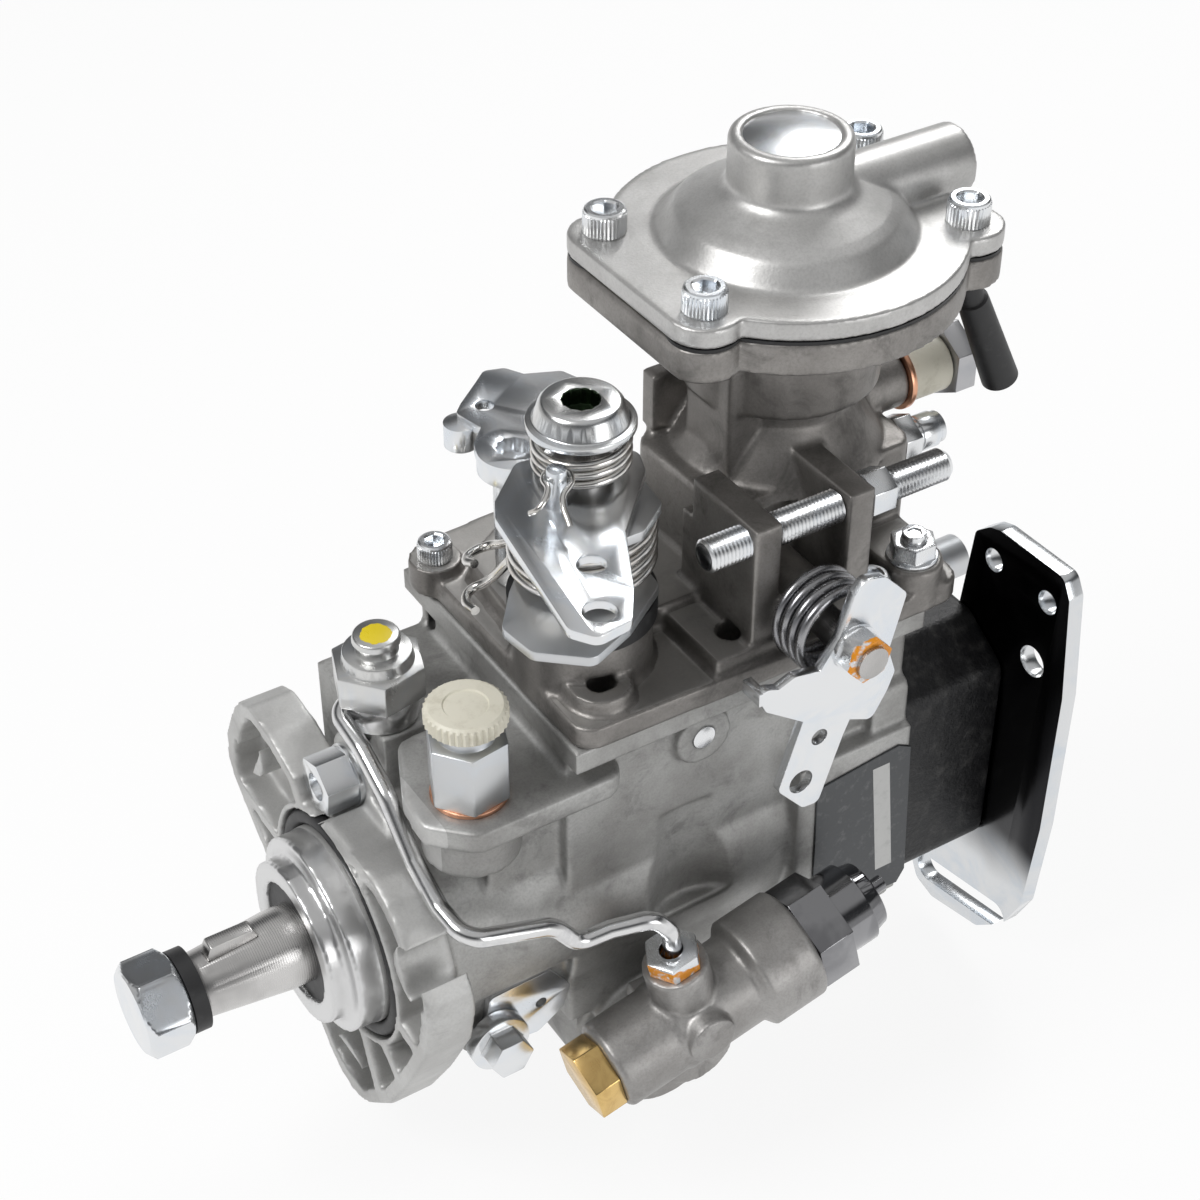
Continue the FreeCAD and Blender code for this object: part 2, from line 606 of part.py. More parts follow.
def gears_and_governor():
    """The gear on the shaft, and the governor it drives: cage, flyweights, sliding sleeve and levers."""
    size(
        cage_diameter=34, cage_neck=30, cage_wall=3, cage_end=76, cage_window=13, weight_length=13,
        weight_inner=8, weight_outer=15,
        weight_width=12.4, sleeve_start=80, sleeve_end=92, sleeve_diameter=16, sleeve_flange=22,
        governor_shaft_end=94,
        governor_shaft_start=37, lever_x=93.3, lever_thickness=3, lever_top=59, lever_half_width=9,
        foot_diameter=4.6, foot_tip=12, foot_x=98,
    )
    body, turn = gear("drive_teeth", 0)
    bored = cut(place(body, ("gear_start", 0, 0), turn),
                rod("shaft_diameter + 0.04", "20", ("gear_start - 5", 0, 0), "x"))
    named("drive_gear", bored)

    small, turn = gear("governor_teeth", 0)
    line = math.degrees(math.atan2(value("governor_z"), value("governor_y")))
    tooth_angle = 360 / value("governor_teeth")
    turned_by = (1 + value("drive_teeth") / value("governor_teeth")) * (90 + line) + tooth_angle / 2
    small_turn = ROD_ALONG["x"] * Rotation(Vector(0, 0, 1), turned_by % 360)
    at = ("gear_start", "governor_y", "governor_z")
    cup = turned(
        [("gear_start + gear_width - 1", 0), ("gear_start + gear_width - 1", "cage_neck / 2"),
         ("gear_start + gear_width + 0.4", "cage_neck / 2"),
         ("gear_start + gear_width + 0.4", "cage_diameter / 2"),
         ("cage_end", "cage_diameter / 2"), ("cage_end", "cage_diameter / 2 - cage_wall"),
         ("gear_start + gear_width + 3", "cage_diameter / 2 - cage_wall"),
         ("gear_start + gear_width + 3", 0)],
        (0, "governor_y", "governor_z"),
    )
    windows = []
    for across in (-1, 1):
        windows.append(block(("gear_start + gear_width + 4", "governor_y + %d * 16 - 6" % across,
                              "governor_z - cage_window / 2"),
                             ("cage_end - 3", "governor_y + %d * 16 + 6" % across,
                              "governor_z + cage_window / 2")))
        windows.append(block(("gear_start + gear_width + 4", "governor_y - cage_window / 2",
                              "governor_z + %d * 16 - 6" % across),
                             ("cage_end - 3", "governor_y + cage_window / 2",
                              "governor_z + %d * 16 + 6" % across)))
    hole = rod("governor_shaft_diameter + 2 * running_gap", "40",
               ("gear_start - 2", "governor_y", "governor_z"), "x")
    named("flyweight_cage", cut(join(place(small, at, small_turn), cup), hole, *windows))

    weights = []
    for across, up in ((1, 0), (-1, 0), (0, 1), (0, -1)):
        weight = document.addObject("Part::Box", "Weight")
        bind(weight, "Length", "weight_length")
        bind(weight, "Width", "weight_outer - weight_inner")
        bind(weight, "Height", "weight_width")
        degrees = math.degrees(math.atan2(up, across))
        turn = Rotation(Vector(1, 0, 0), degrees)
        start = Vector(value("gear_start + gear_width + 5"), value("weight_inner"),
                       -value("weight_width") / 2)
        centre = Vector(0, value("governor_y"), value("governor_z"))
        weight.Placement = Placement(centre, turn) * Placement(start, Rotation())
        weights.append(weight)
    named("flyweights", group(*weights))

    named("governor_shaft", rod("governor_shaft_diameter", "governor_shaft_end - governor_shaft_start",
                                ("governor_shaft_start", "governor_y", "governor_z"), "x"))
    sleeve = turned(
        [("sleeve_start", "governor_shaft_diameter / 2 + running_gap"),
         ("sleeve_start", "sleeve_flange / 2"),
         ("sleeve_start + 2.5", "sleeve_flange / 2"), ("sleeve_start + 2.5", "sleeve_diameter / 2"),
         ("sleeve_end", "sleeve_diameter / 2"),
         ("sleeve_end", "governor_shaft_diameter / 2 + running_gap")],
        (0, "governor_y", "governor_z"),
    )
    named("governor_sleeve", sleeve)
    slab = block(("lever_x", "governor_y - lever_half_width", "pivot_z - 2"),
                 ("lever_x + lever_thickness", "governor_y + lever_half_width", "lever_top"))
    window = rod("governor_shaft_diameter + 3", "12", ("lever_x - 4", "governor_y", "governor_z"), "x")
    pin = rod("pivot_diameter", "pivot_reach * 2", ("pivot_x", "-pivot_reach", "pivot_z"), "y")
    arm = block(("foot_x - 3", -3, "foot_tip + 5"), ("foot_x + 3", 3, "pivot_z"))
    foot = rod("foot_diameter", "8", ("foot_x", 0, "foot_tip - 1"))
    bridge = block(("lever_x", -5, "pivot_z - 3"),
                   ("foot_x + 3", "governor_y + lever_half_width", "pivot_z + 3"))
    named("governor_levers", join(cut(slab, window), pin, arm, foot, bridge))


def metering_parts():
    """The roller ring, its rollers, the cam plate, the plunger and its springs, and the control sleeve."""
    size(
        roller_ring_start=60, roller_ring_end=72, roller_ring_outer=54, roller_ring_bore=30,
        roller_diameter=9,
        roller_length=8, roller_radius=21, ring_pin_end=46, cam_face=79, cam_lift=2.2, cam_lobe_width=9,
        cam_diameter=50, cam_end=87, plunger_diameter=12, plunger_start=87.1, plunger_end=150,
        return_spring_start=93.5, return_spring_radius=4.2, return_spring_wire=1.6, return_spring_pitch=3.6,
        return_spring_y=19, plunger_foot=25, sleeve_band_start=94.5, sleeve_band_end=103,
        sleeve_band_outer=26, cam_gap=0.1,
    )
    ring_body = ring("roller_ring_outer - 0.1", "roller_ring_bore", "roller_ring_end - roller_ring_start",
                     ("roller_ring_start", 0, 0), "x")
    pin = rod("ring_pin_diameter", "ring_pin_end - 24", ("timing_x", 0, "-ring_pin_end"))
    pockets, rollers = [], []
    for degrees in (45, 135, 225, 315):
        along = Vector(0, math.cos(math.radians(degrees)), math.sin(math.radians(degrees)))
        turn = Rotation(Vector(0, 0, 1), along)
        for diameter, length, keep in (("roller_diameter + 0.2", "roller_length + 0.4", pockets),
                                       ("roller_diameter", "roller_length", rollers)):
            roller = document.addObject("Part::Cylinder", "Roller")
            bind(roller, "Radius", "(%s) / 2" % diameter)
            bind(roller, "Height", length)
            start = along * (value("roller_radius") - value(length) / 2)
            roller.Placement = Placement(start + Vector(value("roller_ring_end"), 0, 0), turn)
            keep.append(roller)
    named("roller_ring", cut(join(ring_body, pin), *pockets))
    named("cam_rollers", group(*rollers))

    disc = turned(
        [("cam_face", 0), ("cam_face", "cam_diameter / 2"), ("cam_end - 4", "cam_diameter / 2"),
         ("cam_end - 4", "cam_diameter / 4"), ("cam_end", "cam_diameter / 4"), ("cam_end", 0)], (0, 0, 0))
    lobes = []
    for degrees in (45, 135, 225, 315):
        lobe = document.addObject("Part::Wedge", "Lobe")
        lobe.Xmin, lobe.Xmax = -value("cam_lobe_width"), value("cam_lobe_width")
        lobe.X2min, lobe.X2max = -value("cam_lobe_width") / 4, value("cam_lobe_width") / 4
        lobe.Ymin, lobe.Ymax = 0, value("cam_lift")
        lobe.Zmin, lobe.Zmax = -3.5, 3.5
        lobe.Z2min, lobe.Z2max = -3.5, 3.5
        facing = Placement(Vector(value("cam_face"), 0, value("roller_radius")),
                           Rotation(Vector(0, 0, 1), 90))
        lobe.Placement = Placement(Vector(), Rotation(Vector(1, 0, 0), degrees)) * facing
        lobes.append(lobe)
    slot = block(("cam_face - 3", "-claw_width / 2 - cam_gap", "-claw_height / 2 - cam_gap"),
                 ("cam_end + 1", "claw_width / 2 + cam_gap", "claw_height / 2 + cam_gap"))
    named("cam_plate", cut(join(disc, *lobes), slot))

    foot = turned(
        [("plunger_start", 0), ("plunger_start", "plunger_foot"), ("plunger_start + 3", "plunger_foot"),
         ("plunger_start + 3", "plunger_diameter / 2"), ("plunger_end", "plunger_diameter / 2"),
         ("plunger_end", 0)], (0, 0, 0))
    named("plunger", foot)
    springs = []
    for side in (-1, 1):
        springs.append(coil("return_spring_radius", "return_spring_wire", "return_spring_pitch", 6.5,
                            ("return_spring_start", side * value("return_spring_y"), 0), "x"))
    named("plunger_springs", group(*springs))
    band = ring("sleeve_band_outer", "plunger_diameter + 2 * running_gap",
                "sleeve_band_end - sleeve_band_start",
                ("sleeve_band_start", 0, 0), "x")
    named("control_sleeve", cut(band, rod("foot_diameter + 0.6", "8", ("foot_x", 0, "foot_tip - 2.5"))))


def distributor_head():
    """The black hydraulic head with its spigot, the bore for the plunger and seats for four outlet valves."""
    size(valve_circle=25.5, valve_flats=14, valve_holder_length=15, valve_thread=12, valve_line_bore=5,
         head_rounding=5, barrel_start=108, barrel_outer=24, bracket_screw=8)
    profile = [(-31, -26), (31, -26), (31, 26), (20, 33), (-20, 33), (-31, 26)]
    outside = join(
        rod("spigot_diameter", "block_end - spigot_start + 1", ("spigot_start + 0.2", 0, 0), "x"),
        rod("barrel_outer", "20", ("barrel_start", 0, 0), "x"),
        plate(profile, "head_end - block_end", ("block_end", 0, 0), "x", "head_rounding"),
    )
    holes = [rod("plunger_diameter + 2 * running_gap", "50", ("barrel_start - 1", 0, 0), "x")]
    holders = []
    for degrees in VALVE_ANGLES:
        across, up = polar("valve_circle", degrees)
        holes.append(rod("valve_thread + 0.04", "14", ("head_end - 13", across, up), "x"))
        body = join(
            hexagon("valve_flats", "valve_holder_length * 0.6", ("head_end + 0.02", across, up), "x"),
            rod("valve_thread", "valve_holder_length + 24", ("head_end - 12", across, up), "x"),
        )
        holders.append(cut(body,
                           rod("valve_line_bore", "12", ("head_end + valve_holder_length + 2", across, up),
                               "x")))
    for y, z in HEAD_SCREWS:
        holes.append(rod("screw_diameter + 0.5", "60", ("block_end - 1", y, z), "x"))
        holes.append(rod("screw_head + 0.6", "40", ("head_end - 8", y, z), "x"))
    for y, z in BRACKET_SCREWS:
        holes.append(rod("bracket_screw", "18", ("head_end - 16", y, z), "x"))
    named("distributor_head", cut(outside, *holes))
    named("delivery_valve_holders", group(*holders))


def cap_screw(at, along, length, shank="screw_diameter", head="screw_head", height="screw_head_height"):
    """A socket head screw, its head starting at a place and its shank running the other way."""
    backwards = along[1:] if along.startswith("-") else "-" + along
    body = join(rod(head, height, at, along), rod("%s - 0.04" % shank, length, at, backwards))
    socket = hexagon("(%s) * 0.5" % head, height, at, along)
    step = {"x": (1, 0, 0), "z": (0, 0, 1)}[along]
    at = [("%s + %s * 0.45" % (text, height)) if move else text for text,
          move in zip([str(t) for t in at], step)]
    place(socket, at, ROD_ALONG[along])
    return cut(body, socket)


def screws():
    """The socket head screws of the cover, the boost unit and the head, and the two that hold the bracket."""
    size(cover_boss_top=73.5, far_boss_top=71.3, boost_flange_top=152.8, cover_shank=17, boost_shank=10,
         head_screw_shank=33, bracket_screw_head=13, bracket_screw_height=6, bracket_screw_shank=18)
    caps = []
    tops = ["cover_boss_top", "far_boss_top", "far_boss_top", "far_boss_top"]
    for (x, y), top in zip(COVER_SCREWS, tops):
        caps.append(cap_screw((x, y, top), "z", "cover_shank", "cover_screw", "cover_screw_head",
                              "cover_screw_height"))
    for across in (-1, 1):
        for up in (-1, 1):
            at = ("boost_x + %d * boost_screw_x" % across, "boost_y + %d * boost_screw_y" % up,
                  "boost_flange_top")
            caps.append(cap_screw(at, "z", "boost_shank"))
    for y, z in HEAD_SCREWS:
        caps.append(cap_screw(("head_end - 8", y, z), "x", "head_screw_shank"))
    named("cap_screws", group(*caps))
    named("bracket_screws", group(*[
        cap_screw(("head_end + bracket_thickness + 0.04", y, z), "x", "bracket_screw_shank", "8",
                  "bracket_screw_head", "bracket_screw_height") for y, z in BRACKET_SCREWS]))


def support_bracket():
    """The pressed plate on the back of the head: three holes at the top and a slanted slot at its foot."""
    size(bracket_rounding=3, small_hole=6.4, large_hole=8.6, foot_slot=8)
    body = plate(
        [(-22.5, 60), (-26, 63), (-29, 64), (-50, 64.5), (-51.7, 61.5), (-54.4, 33), (-54, -11.5),
         (-51.4, -41),
         (-46, -52.5), (-37.5, -60.3), (-20, -64.8), (-15, -63.5), (-12, -58), (-13.5, -50), (-16, -20),
         (-18, 20)],
        "bracket_thickness", ("head_end + 0.02", 0, 0), "x", "bracket_rounding")
    holes = [
        rod("small_hole", "10", ("head_end - 2", -27.4, 57.2), "x"),
        rod("small_hole", "10", ("head_end - 2", -47.5, 57.2), "x"),
        rod("large_hole", "10", ("head_end - 2", -45.3, 37), "x"),
        plate([(-16.8, -59), (-45.2, -53), (-45.3, -53.4), (-16.9, -59.4)], "10", ("head_end - 2", 0, 0),
              "x",
              "foot_slot / 2"),
    ]
    for y, z in BRACKET_SCREWS:
        holes.append(rod("bracket_screw + 0.4", "10", ("head_end - 2", y, z), "x"))
    named("support_bracket", cut(body, *holes))


def governor_cover():
    """The cover over the governor, with the throttle hub, the stud's two lugs and the boost unit's bowl."""
    size(
        cover_flange=6.2, hub_diameter_outer=32, hub_top=84, tower_top=98, column_foot=94,
        column_diameter=36,
        bowl_foot=116, bowl_diameter=47, bowl_low=130, bowl_high=140, bowl_top_diameter=76, boost_disc=82,
        boost_ear=17, lower_flange=7.6, lug_first=90.5, lug_second=116, lug_thickness=7, lug_near=-40,
        lug_top=106.5,
        lug_root=-15, front_boss_x=55.2, front_boss_y=-31.9, front_boss_top=75, side_block_x=90,
        side_block_y=-32.7,
        corner_x=140.5, corner_y=-34.5, corner_top=77, stop_boss=15, stop_boss_face=-41,
        return_y=1, return_z=101, return_boss=15, return_boss_end=159.5, limit_y=-10, limit_z=90.5,
        limit_boss=13,
        limit_boss_end=152, cover_cavity=24, tapped_hole=6.6, spring_well=37, spring_well_floor=127.5,
        plate_well=46.6, plate_well_floor=140.2, deck_top=77,
    )
    base = "top_height + joint_gap"
    ears = [("boost_x + %d * boost_screw_x" % across, "boost_y + %d * boost_screw_y" % up)
            for across in (-1, 1) for up in (-1, 1)]
    rim = "boost_joint - lower_flange"
    outside = join(
        plate([(50, -36), (100, -37), (146, -36), (146, 34), (124, 36), (100, 38), (50, 34)],
              "cover_flange",
              (0, 0, base), "z", 5.5),
        plate([(53, -14), (98, -14), (98, 20), (66, 24), (56, 18)], "deck_top - 66", (0, 0, 66), "z", 5),
        rod("hub_diameter_outer", "hub_top - 66", ("throttle_x", "throttle_y", 66)),
        rod(13, "cover_boss_top - 66", (47.3, 29.2, 66)),
        rod(15, "front_boss_top - 66", ("front_boss_x", "front_boss_y", 66)),
        block(("front_boss_x - 7.5", "front_boss_y", 66), ("front_boss_x + 7.5", -15, "front_boss_top")),
        block(("side_block_x - 9.5", "side_block_y - 8", 66),
              ("side_block_x + 7.5", -15, "front_boss_top")),
        plate([(101, -15), (146, -15), (146, 20), (112, 20), (100, 12)], "tower_top - 66", (0, 0, 66), "z",
              5),
        taper("bowl_diameter + 6", "column_diameter", "14", ("boost_x", "boost_y", "tower_top - 2")),
        rod("column_diameter", "bowl_low - column_foot", ("boost_x", "boost_y", "column_foot")),
        rod("bowl_diameter", "bowl_low - bowl_foot", ("boost_x", "boost_y", "bowl_foot")),
        taper("bowl_diameter", "bowl_top_diameter", "bowl_high - bowl_low",
              ("boost_x", "boost_y", "bowl_low")),
        rod("boost_disc", "lower_flange", ("boost_x", "boost_y", rim)),
        *[rod("boost_ear", "lower_flange", ear + (rim,)) for ear in ears],
        block(("boost_x - boost_screw_x - boost_ear / 2", "boost_y - boost_screw_y", rim),
              ("boost_x", "boost_y + boost_screw_y", "boost_joint")),
        block((103, -11, "tower_top - 6"), ("boost_x", 7, "bowl_low + 4")),
        block((99, 14, 99.5), ("boost_x", 19, 114.6)),
        block(("lug_first", "lug_near", 70), ("lug_first + lug_thickness", "lug_root", "lug_top")),
        block(("lug_second", "lug_near", 78), ("lug_second + lug_thickness", "lug_root", "lug_top")),
        block(("lug_first", "lug_root - 6", 70), ("lug_second + 20", "lug_root + 4", 96)),
        rod("stop_boss", "30", ("stop_x", "stop_boss_face + 30", "stop_z"), "-y"),
        rod(15, "corner_top - 65", ("corner_x", "corner_y", 65)),
        block(("corner_x - 7.5", "corner_y", base), ("corner_x + 7.5", -15, "corner_top")),
        rod("return_boss", "return_boss_end - boost_x", ("boost_x", "return_y", "return_z"), "x"),
        rod("limit_boss", "limit_boss_end - 140", (140, "limit_y", "limit_z"), "x"),
        refine=False,
    )
    holes = [
        block((51.5, "-cover_cavity", 60), (138, "cover_cavity + 6", 69)),
        block((46.2, -3, 60), (52, 19, 66.5)),
        plate([(104, -10), (142, -10), (142, 15), (112, 15), (104, 10)], 24, (0, 0, 68), "z", 2),
        rod("boost_pin_diameter + 2 * running_gap", 60, ("boost_x", "boost_y", 90)),
        rod("spring_well", 20, ("boost_x", "boost_y", "spring_well_floor")),
        rod("plate_well", 20, ("boost_x", "boost_y", "plate_well_floor")),
        rod("throttle_shaft_diameter + 2 * running_gap", 60, ("throttle_x", "throttle_y", 55)),
        rod("idle_pin + 2 * running_gap", 30, ("idle_x", "idle_y", 65)),
        rod("tapped_hole", 12, ("front_boss_x", "front_boss_y", "front_boss_top - 11")),
        rod("tapped_hole", 12, ("side_block_x", "side_block_y", "front_boss_top - 11")),
        rod("stop_shaft_diameter + 2 * running_gap", 40, ("stop_x", -8, "stop_z"), "-y"),
        rod(6, 30, ("corner_x", "corner_y", "corner_top - 25")),
        rod("stud_diameter", 50, (80, "stud_y", "stud_z"), "x"),
        rod(10, 14, ("return_boss_end - 13", "return_y", "return_z"), "x"),
        rod(8, 14, ("limit_boss_end - 13", "limit_y", "limit_z"), "x"),
    ]
    for x, y in COVER_SCREWS:
        holes.append(rod("cover_screw + 0.4", 20, (x, y, 60)))
    for x, y in COVER_SCREWS[1:]:
        holes.append(rod("cover_screw_head + 0.8", 12, (x, y, "far_boss_top")))
    for ear in ears:
        holes.append(rod("screw_diameter", 12, ear + ("boost_joint - 11",)))
    named("governor_cover", cut(outside, *holes))


def boost_unit():
    """The boost unit's cover, its diaphragm, and the pin with its plate over the spring."""
    size(
        dome_base=59, dome_shoulder=49, shoulder_z=159.5, boss_root_z=163, boss_diameter=28, boss_top=176,
        plug_diameter=21.6, plug_depth=6, air_boss=17, air_z=156.5, air_end=172.5, boost_wall=3,
        plate_diameter=42, plate_thickness=1.6, pin_foot=96, pin_top=151, boost_spring_low=127.6,
        boost_spring_high=146,
        boost_spring_radius=15, boost_spring_wire=2, boost_travel=5,
    )
    outline_parts = [rod("boost_disc", "boost_flange_top - boost_joint - diaphragm_thickness",
                         ("boost_x", "boost_y", "boost_joint + diaphragm_thickness"))]
    low = "boost_joint + diaphragm_thickness"
    for across in (-1, 1):
        for up in (-1, 1):
            outline_parts.append(rod("boost_ear", "boost_flange_top - (%s)" % low, (
                "boost_x + %d * boost_screw_x" % across, "boost_y + %d * boost_screw_y" % up, low)))
    outline_parts.append(block(
        ("boost_x - boost_screw_x - boost_ear / 2", "boost_y - boost_screw_y", low),
        ("boost_x", "boost_y + boost_screw_y", "boost_flange_top")))
    dome = turned(
        [("boost_flange_top - 1", 0), ("boost_flange_top - 1", "dome_base / 2"),
         ("boost_flange_top", "dome_base / 2"),
         ("shoulder_z - 1.5", "dome_shoulder / 2 + 1"), ("shoulder_z", "dome_shoulder / 2 - 1.5"),
         ("boss_root_z", "boss_diameter / 2 + 1.5"), ("boss_root_z + 1.5", "boss_diameter / 2"),
         ("boss_top - 1", "boss_diameter / 2"), ("boss_top", "boss_diameter / 2 - 1"), ("boss_top", 0)],
        ("boost_x", "boost_y", 0), "z")
    hollow = turned(
        [("boost_joint", 0), ("boost_joint", "dome_base / 2 - boost_wall - 1"),
         ("shoulder_z - boost_wall", "dome_shoulder / 2 - boost_wall"),
         ("shoulder_z - boost_wall", "plug_diameter / 2 - 3"),
         ("boss_top - 10", "plug_diameter / 2 - 3"), ("boss_top - 10", 0)],
        ("boost_x", "boost_y", 0), "z")
    air = rod("air_boss", "air_end - boost_x - 14", ("boost_x + 14", "boost_y", "air_z"), "x")
    holes = [hollow,
             rod("plug_diameter + 0.04", "plug_depth + 1", ("boost_x", "boost_y", "boss_top - plug_depth")),
             rod(9, 40, ("boost_x + 20", "boost_y", "air_z"), "x")]
    for across in (-1, 1):
        for up in (-1, 1):
            holes.append(rod("screw_diameter + 0.4", 12, (
                "boost_x + %d * boost_screw_x" % across, "boost_y + %d * boost_screw_y" % up,
                "boost_joint")))
    named("boost_cover", cut(join(dome, air, *outline_parts), *holes))

    sheet_parts = [rod("boost_disc - 0.6", "diaphragm_thickness - 0.04",
                       ("boost_x", "boost_y", "boost_joint + 0.02"))]
    punched = [rod(46.6, 3, ("boost_x", "boost_y", "boost_joint - 1"))]
    for across in (-1, 1):
        for up in (-1, 1):
            at = ("boost_x + %d * boost_screw_x" % across, "boost_y + %d * boost_screw_y" % up,
                  "boost_joint + 0.02")
            sheet_parts.append(rod("boost_ear - 0.6", "diaphragm_thickness - 0.04", at))
            punched.append(rod("screw_diameter + 0.5", 3, at[:2] + ("boost_joint - 1",)))
    named("boost_diaphragm", cut(join(*sheet_parts), *punched))
    pin = turned(
        [("pin_foot", 0), ("pin_foot + 3", "boost_pin_diameter / 2 - 1.5"),
         ("pin_foot + 3", "boost_pin_diameter / 2"),
         ("boost_spring_high + 0.1", "boost_pin_diameter / 2"),
         ("boost_spring_high + 0.1", "plate_diameter / 2"),
         ("boost_spring_high + 0.1 + plate_thickness", "plate_diameter / 2"),
         ("boost_spring_high + 0.1 + plate_thickness", "boost_pin_diameter / 2 + 2"), ("pin_top",
             "boost_pin_diameter / 2 + 2"),
         ("pin_top", 0)],
        ("boost_x", "boost_y", 0), "z")
    named("boost_pin", pin)
    named("boost_spring", coil("boost_spring_radius", "boost_spring_wire", 4.5, 3.5,
                               ("boost_x", "boost_y", "boost_spring_low + boost_spring_wire / 2 + 0.1")))


def throttle_parts():
    """The throttle shaft with its lever, cap, two springs and stop plates, and the idle lever beside it."""
    size(
        cap_top=140, cap_rim=135.3, cap_rim_low=133.6, cap_rim_diameter=24, cap_diameter=18.6,
        lever_low=119.5,
        lever_plate=2.5, upper_spring_radius=10, lower_spring_radius=15.6, upper_wire=2.1, lower_wire=2.4,
        wing_low=114.2, fan_low=93, dust_ring_outer=34, dust_ring_top=89.5, link_pin=4.4,
        link_pin_top=131.8,
        hole_first=6.2, hole_second=7, idle_low=110.5, idle_post=10, idle_hub=17, idle_foot=77.3,
        star_socket=7.5,
        plate_stock=2.5,
    )
    shaft = join(
        rod("throttle_shaft_diameter", "cap_rim_low - 60 - 0.02", ("throttle_x", "throttle_y", 60)),
        rod(5, 6, ("throttle_x + 3", "throttle_y", 55)),
    )
    named("throttle_shaft", shaft)
    lever = plate(
        [(50, -10.5), (64, -12), (70.5, -18.6), (68.8, -23.1), (53.5, -39.1), (44.5, -56.1), (39.5, -63.4),
         (34, -64.1),
         (32, -61.1), (38, -23.6), (40.5, -19.1)], "lever_plate", (0, 0, "lever_low"), "z", 3)
    holes = [
        rod("throttle_shaft_diameter + 0.04", 10, ("throttle_x", "throttle_y", "lever_low - 2")),
        rod("hole_first", 10, (44, -46.4, "lever_low - 2")),
        rod("hole_second", 10, (37.2, -60.2, "lever_low - 2")),
    ]
    pin = rod("link_pin", "link_pin_top - lever_low", (48.3, -25.9, "lever_low"))
    named("throttle_lever", join(cut(lever, *holes), pin))
    cap = turned(
        [("cap_rim_low", 0), ("cap_rim_low", "cap_rim_diameter / 2"), ("cap_rim", "cap_rim_diameter / 2"),
         ("cap_rim", "cap_diameter / 2 + 1.2"), ("cap_top - 1", "cap_diameter / 2"),
         ("cap_top", "cap_diameter / 2 - 0.8"),
         ("cap_top", 0)],
        ("throttle_x", "throttle_y", 0), "z")
    socket = [hexagon("star_socket", 6, ("throttle_x", "throttle_y", "cap_top - 4"), "z",
                      spin) for spin in (0, 30)]
    named("throttle_cap", cut(cap, *socket))
    springs = [
        coil("upper_spring_radius", "upper_wire", 2.4, 3.4,
             ("throttle_x", "throttle_y", "lever_low + lever_plate + upper_wire / 2 + 0.3")),
        coil("lower_spring_radius", "lower_wire", 3.2, 4.5,
             ("throttle_x", "throttle_y", "fan_low + plate_stock + lower_wire / 2 + 0.3")),
    ]
    named("throttle_springs", group(*springs))
    hub_hole = rod("throttle_shaft_diameter + 0.04", 60, ("throttle_x", "throttle_y", 80))
    wing = plate([(50, -10), (60, -8), (68, -13), (70, -22), (69, -29), (62, -34), (50, -34), (44, -26)],
                 "plate_stock", (0, 0, "wing_low"), "z", 3)
    fan = plate([(52, -10), (62, -8), (70, -16), (68, -30), (56, -38), (46, -42), (38, -35), (37, -27),
                 (44, -18)],
                "plate_stock", (0, 0, "fan_low"), "z", 3)
    named("throttle_stop_plates", group(cut(wing, hub_hole), cut(fan, hub_hole)))
    named("throttle_dust_ring",
          ring("dust_ring_outer", "throttle_shaft_diameter + 0.6", "dust_ring_top - hub_top - 0.04",
               ("throttle_x", "throttle_y", "hub_top + 0.02")))
    arm = plate(
        [(51.5, 10), (53, 14), (58, 19), (56, 27), (58, 29), (65.5, 35), (68.5, 37.5), (71.5, 36.5),
         (74, 32),
         (82, 28.5), (84, 23), (74, 12), (66, 6), (56, 4)], "plate_stock", (0, 0, "idle_low"), "z", 2)
    post = join(
        arm,
        rod("idle_post", "idle_low - idle_foot + 0.5", ("idle_x", "idle_y", "idle_foot")),
        rod("idle_pin", 7, ("idle_x", "idle_y", "idle_foot - 5.5")),
        rod("idle_hub", 5.5, ("idle_x", "idle_y", "idle_low - 2.5")),
        rod(8, 6, (54, 26, "idle_low - 5")),
    )
    tools = [hexagon("star_socket", 6, ("idle_x", "idle_y", "idle_low - 1"), "z", spin) for spin in (0, 30)]
    tools.append(rod(4.5, 8, (61, 27, "idle_low - 2")))
    named("idle_lever", cut(post, *tools))


STOP_LEVER_OUTLINE = [
    (105.8, 95.6), (107.2, 97.4), (111, 96.4), (116.6, 90.4), (115, 84.2), (113, 76), (115.4, 69),
    (114, 65),
    (111, 59.6), (104.4, 62.6), (101.9, 56.5), (96.6, 40.1), (94.6, 40.3), (88.5, 47.4), (94.4, 66.2),
    (83, 74.6),
    (81.6, 77.4), (84.7, 76.2), (89.2, 77.9), (96.8, 76.3), (102.2, 84.4),
]


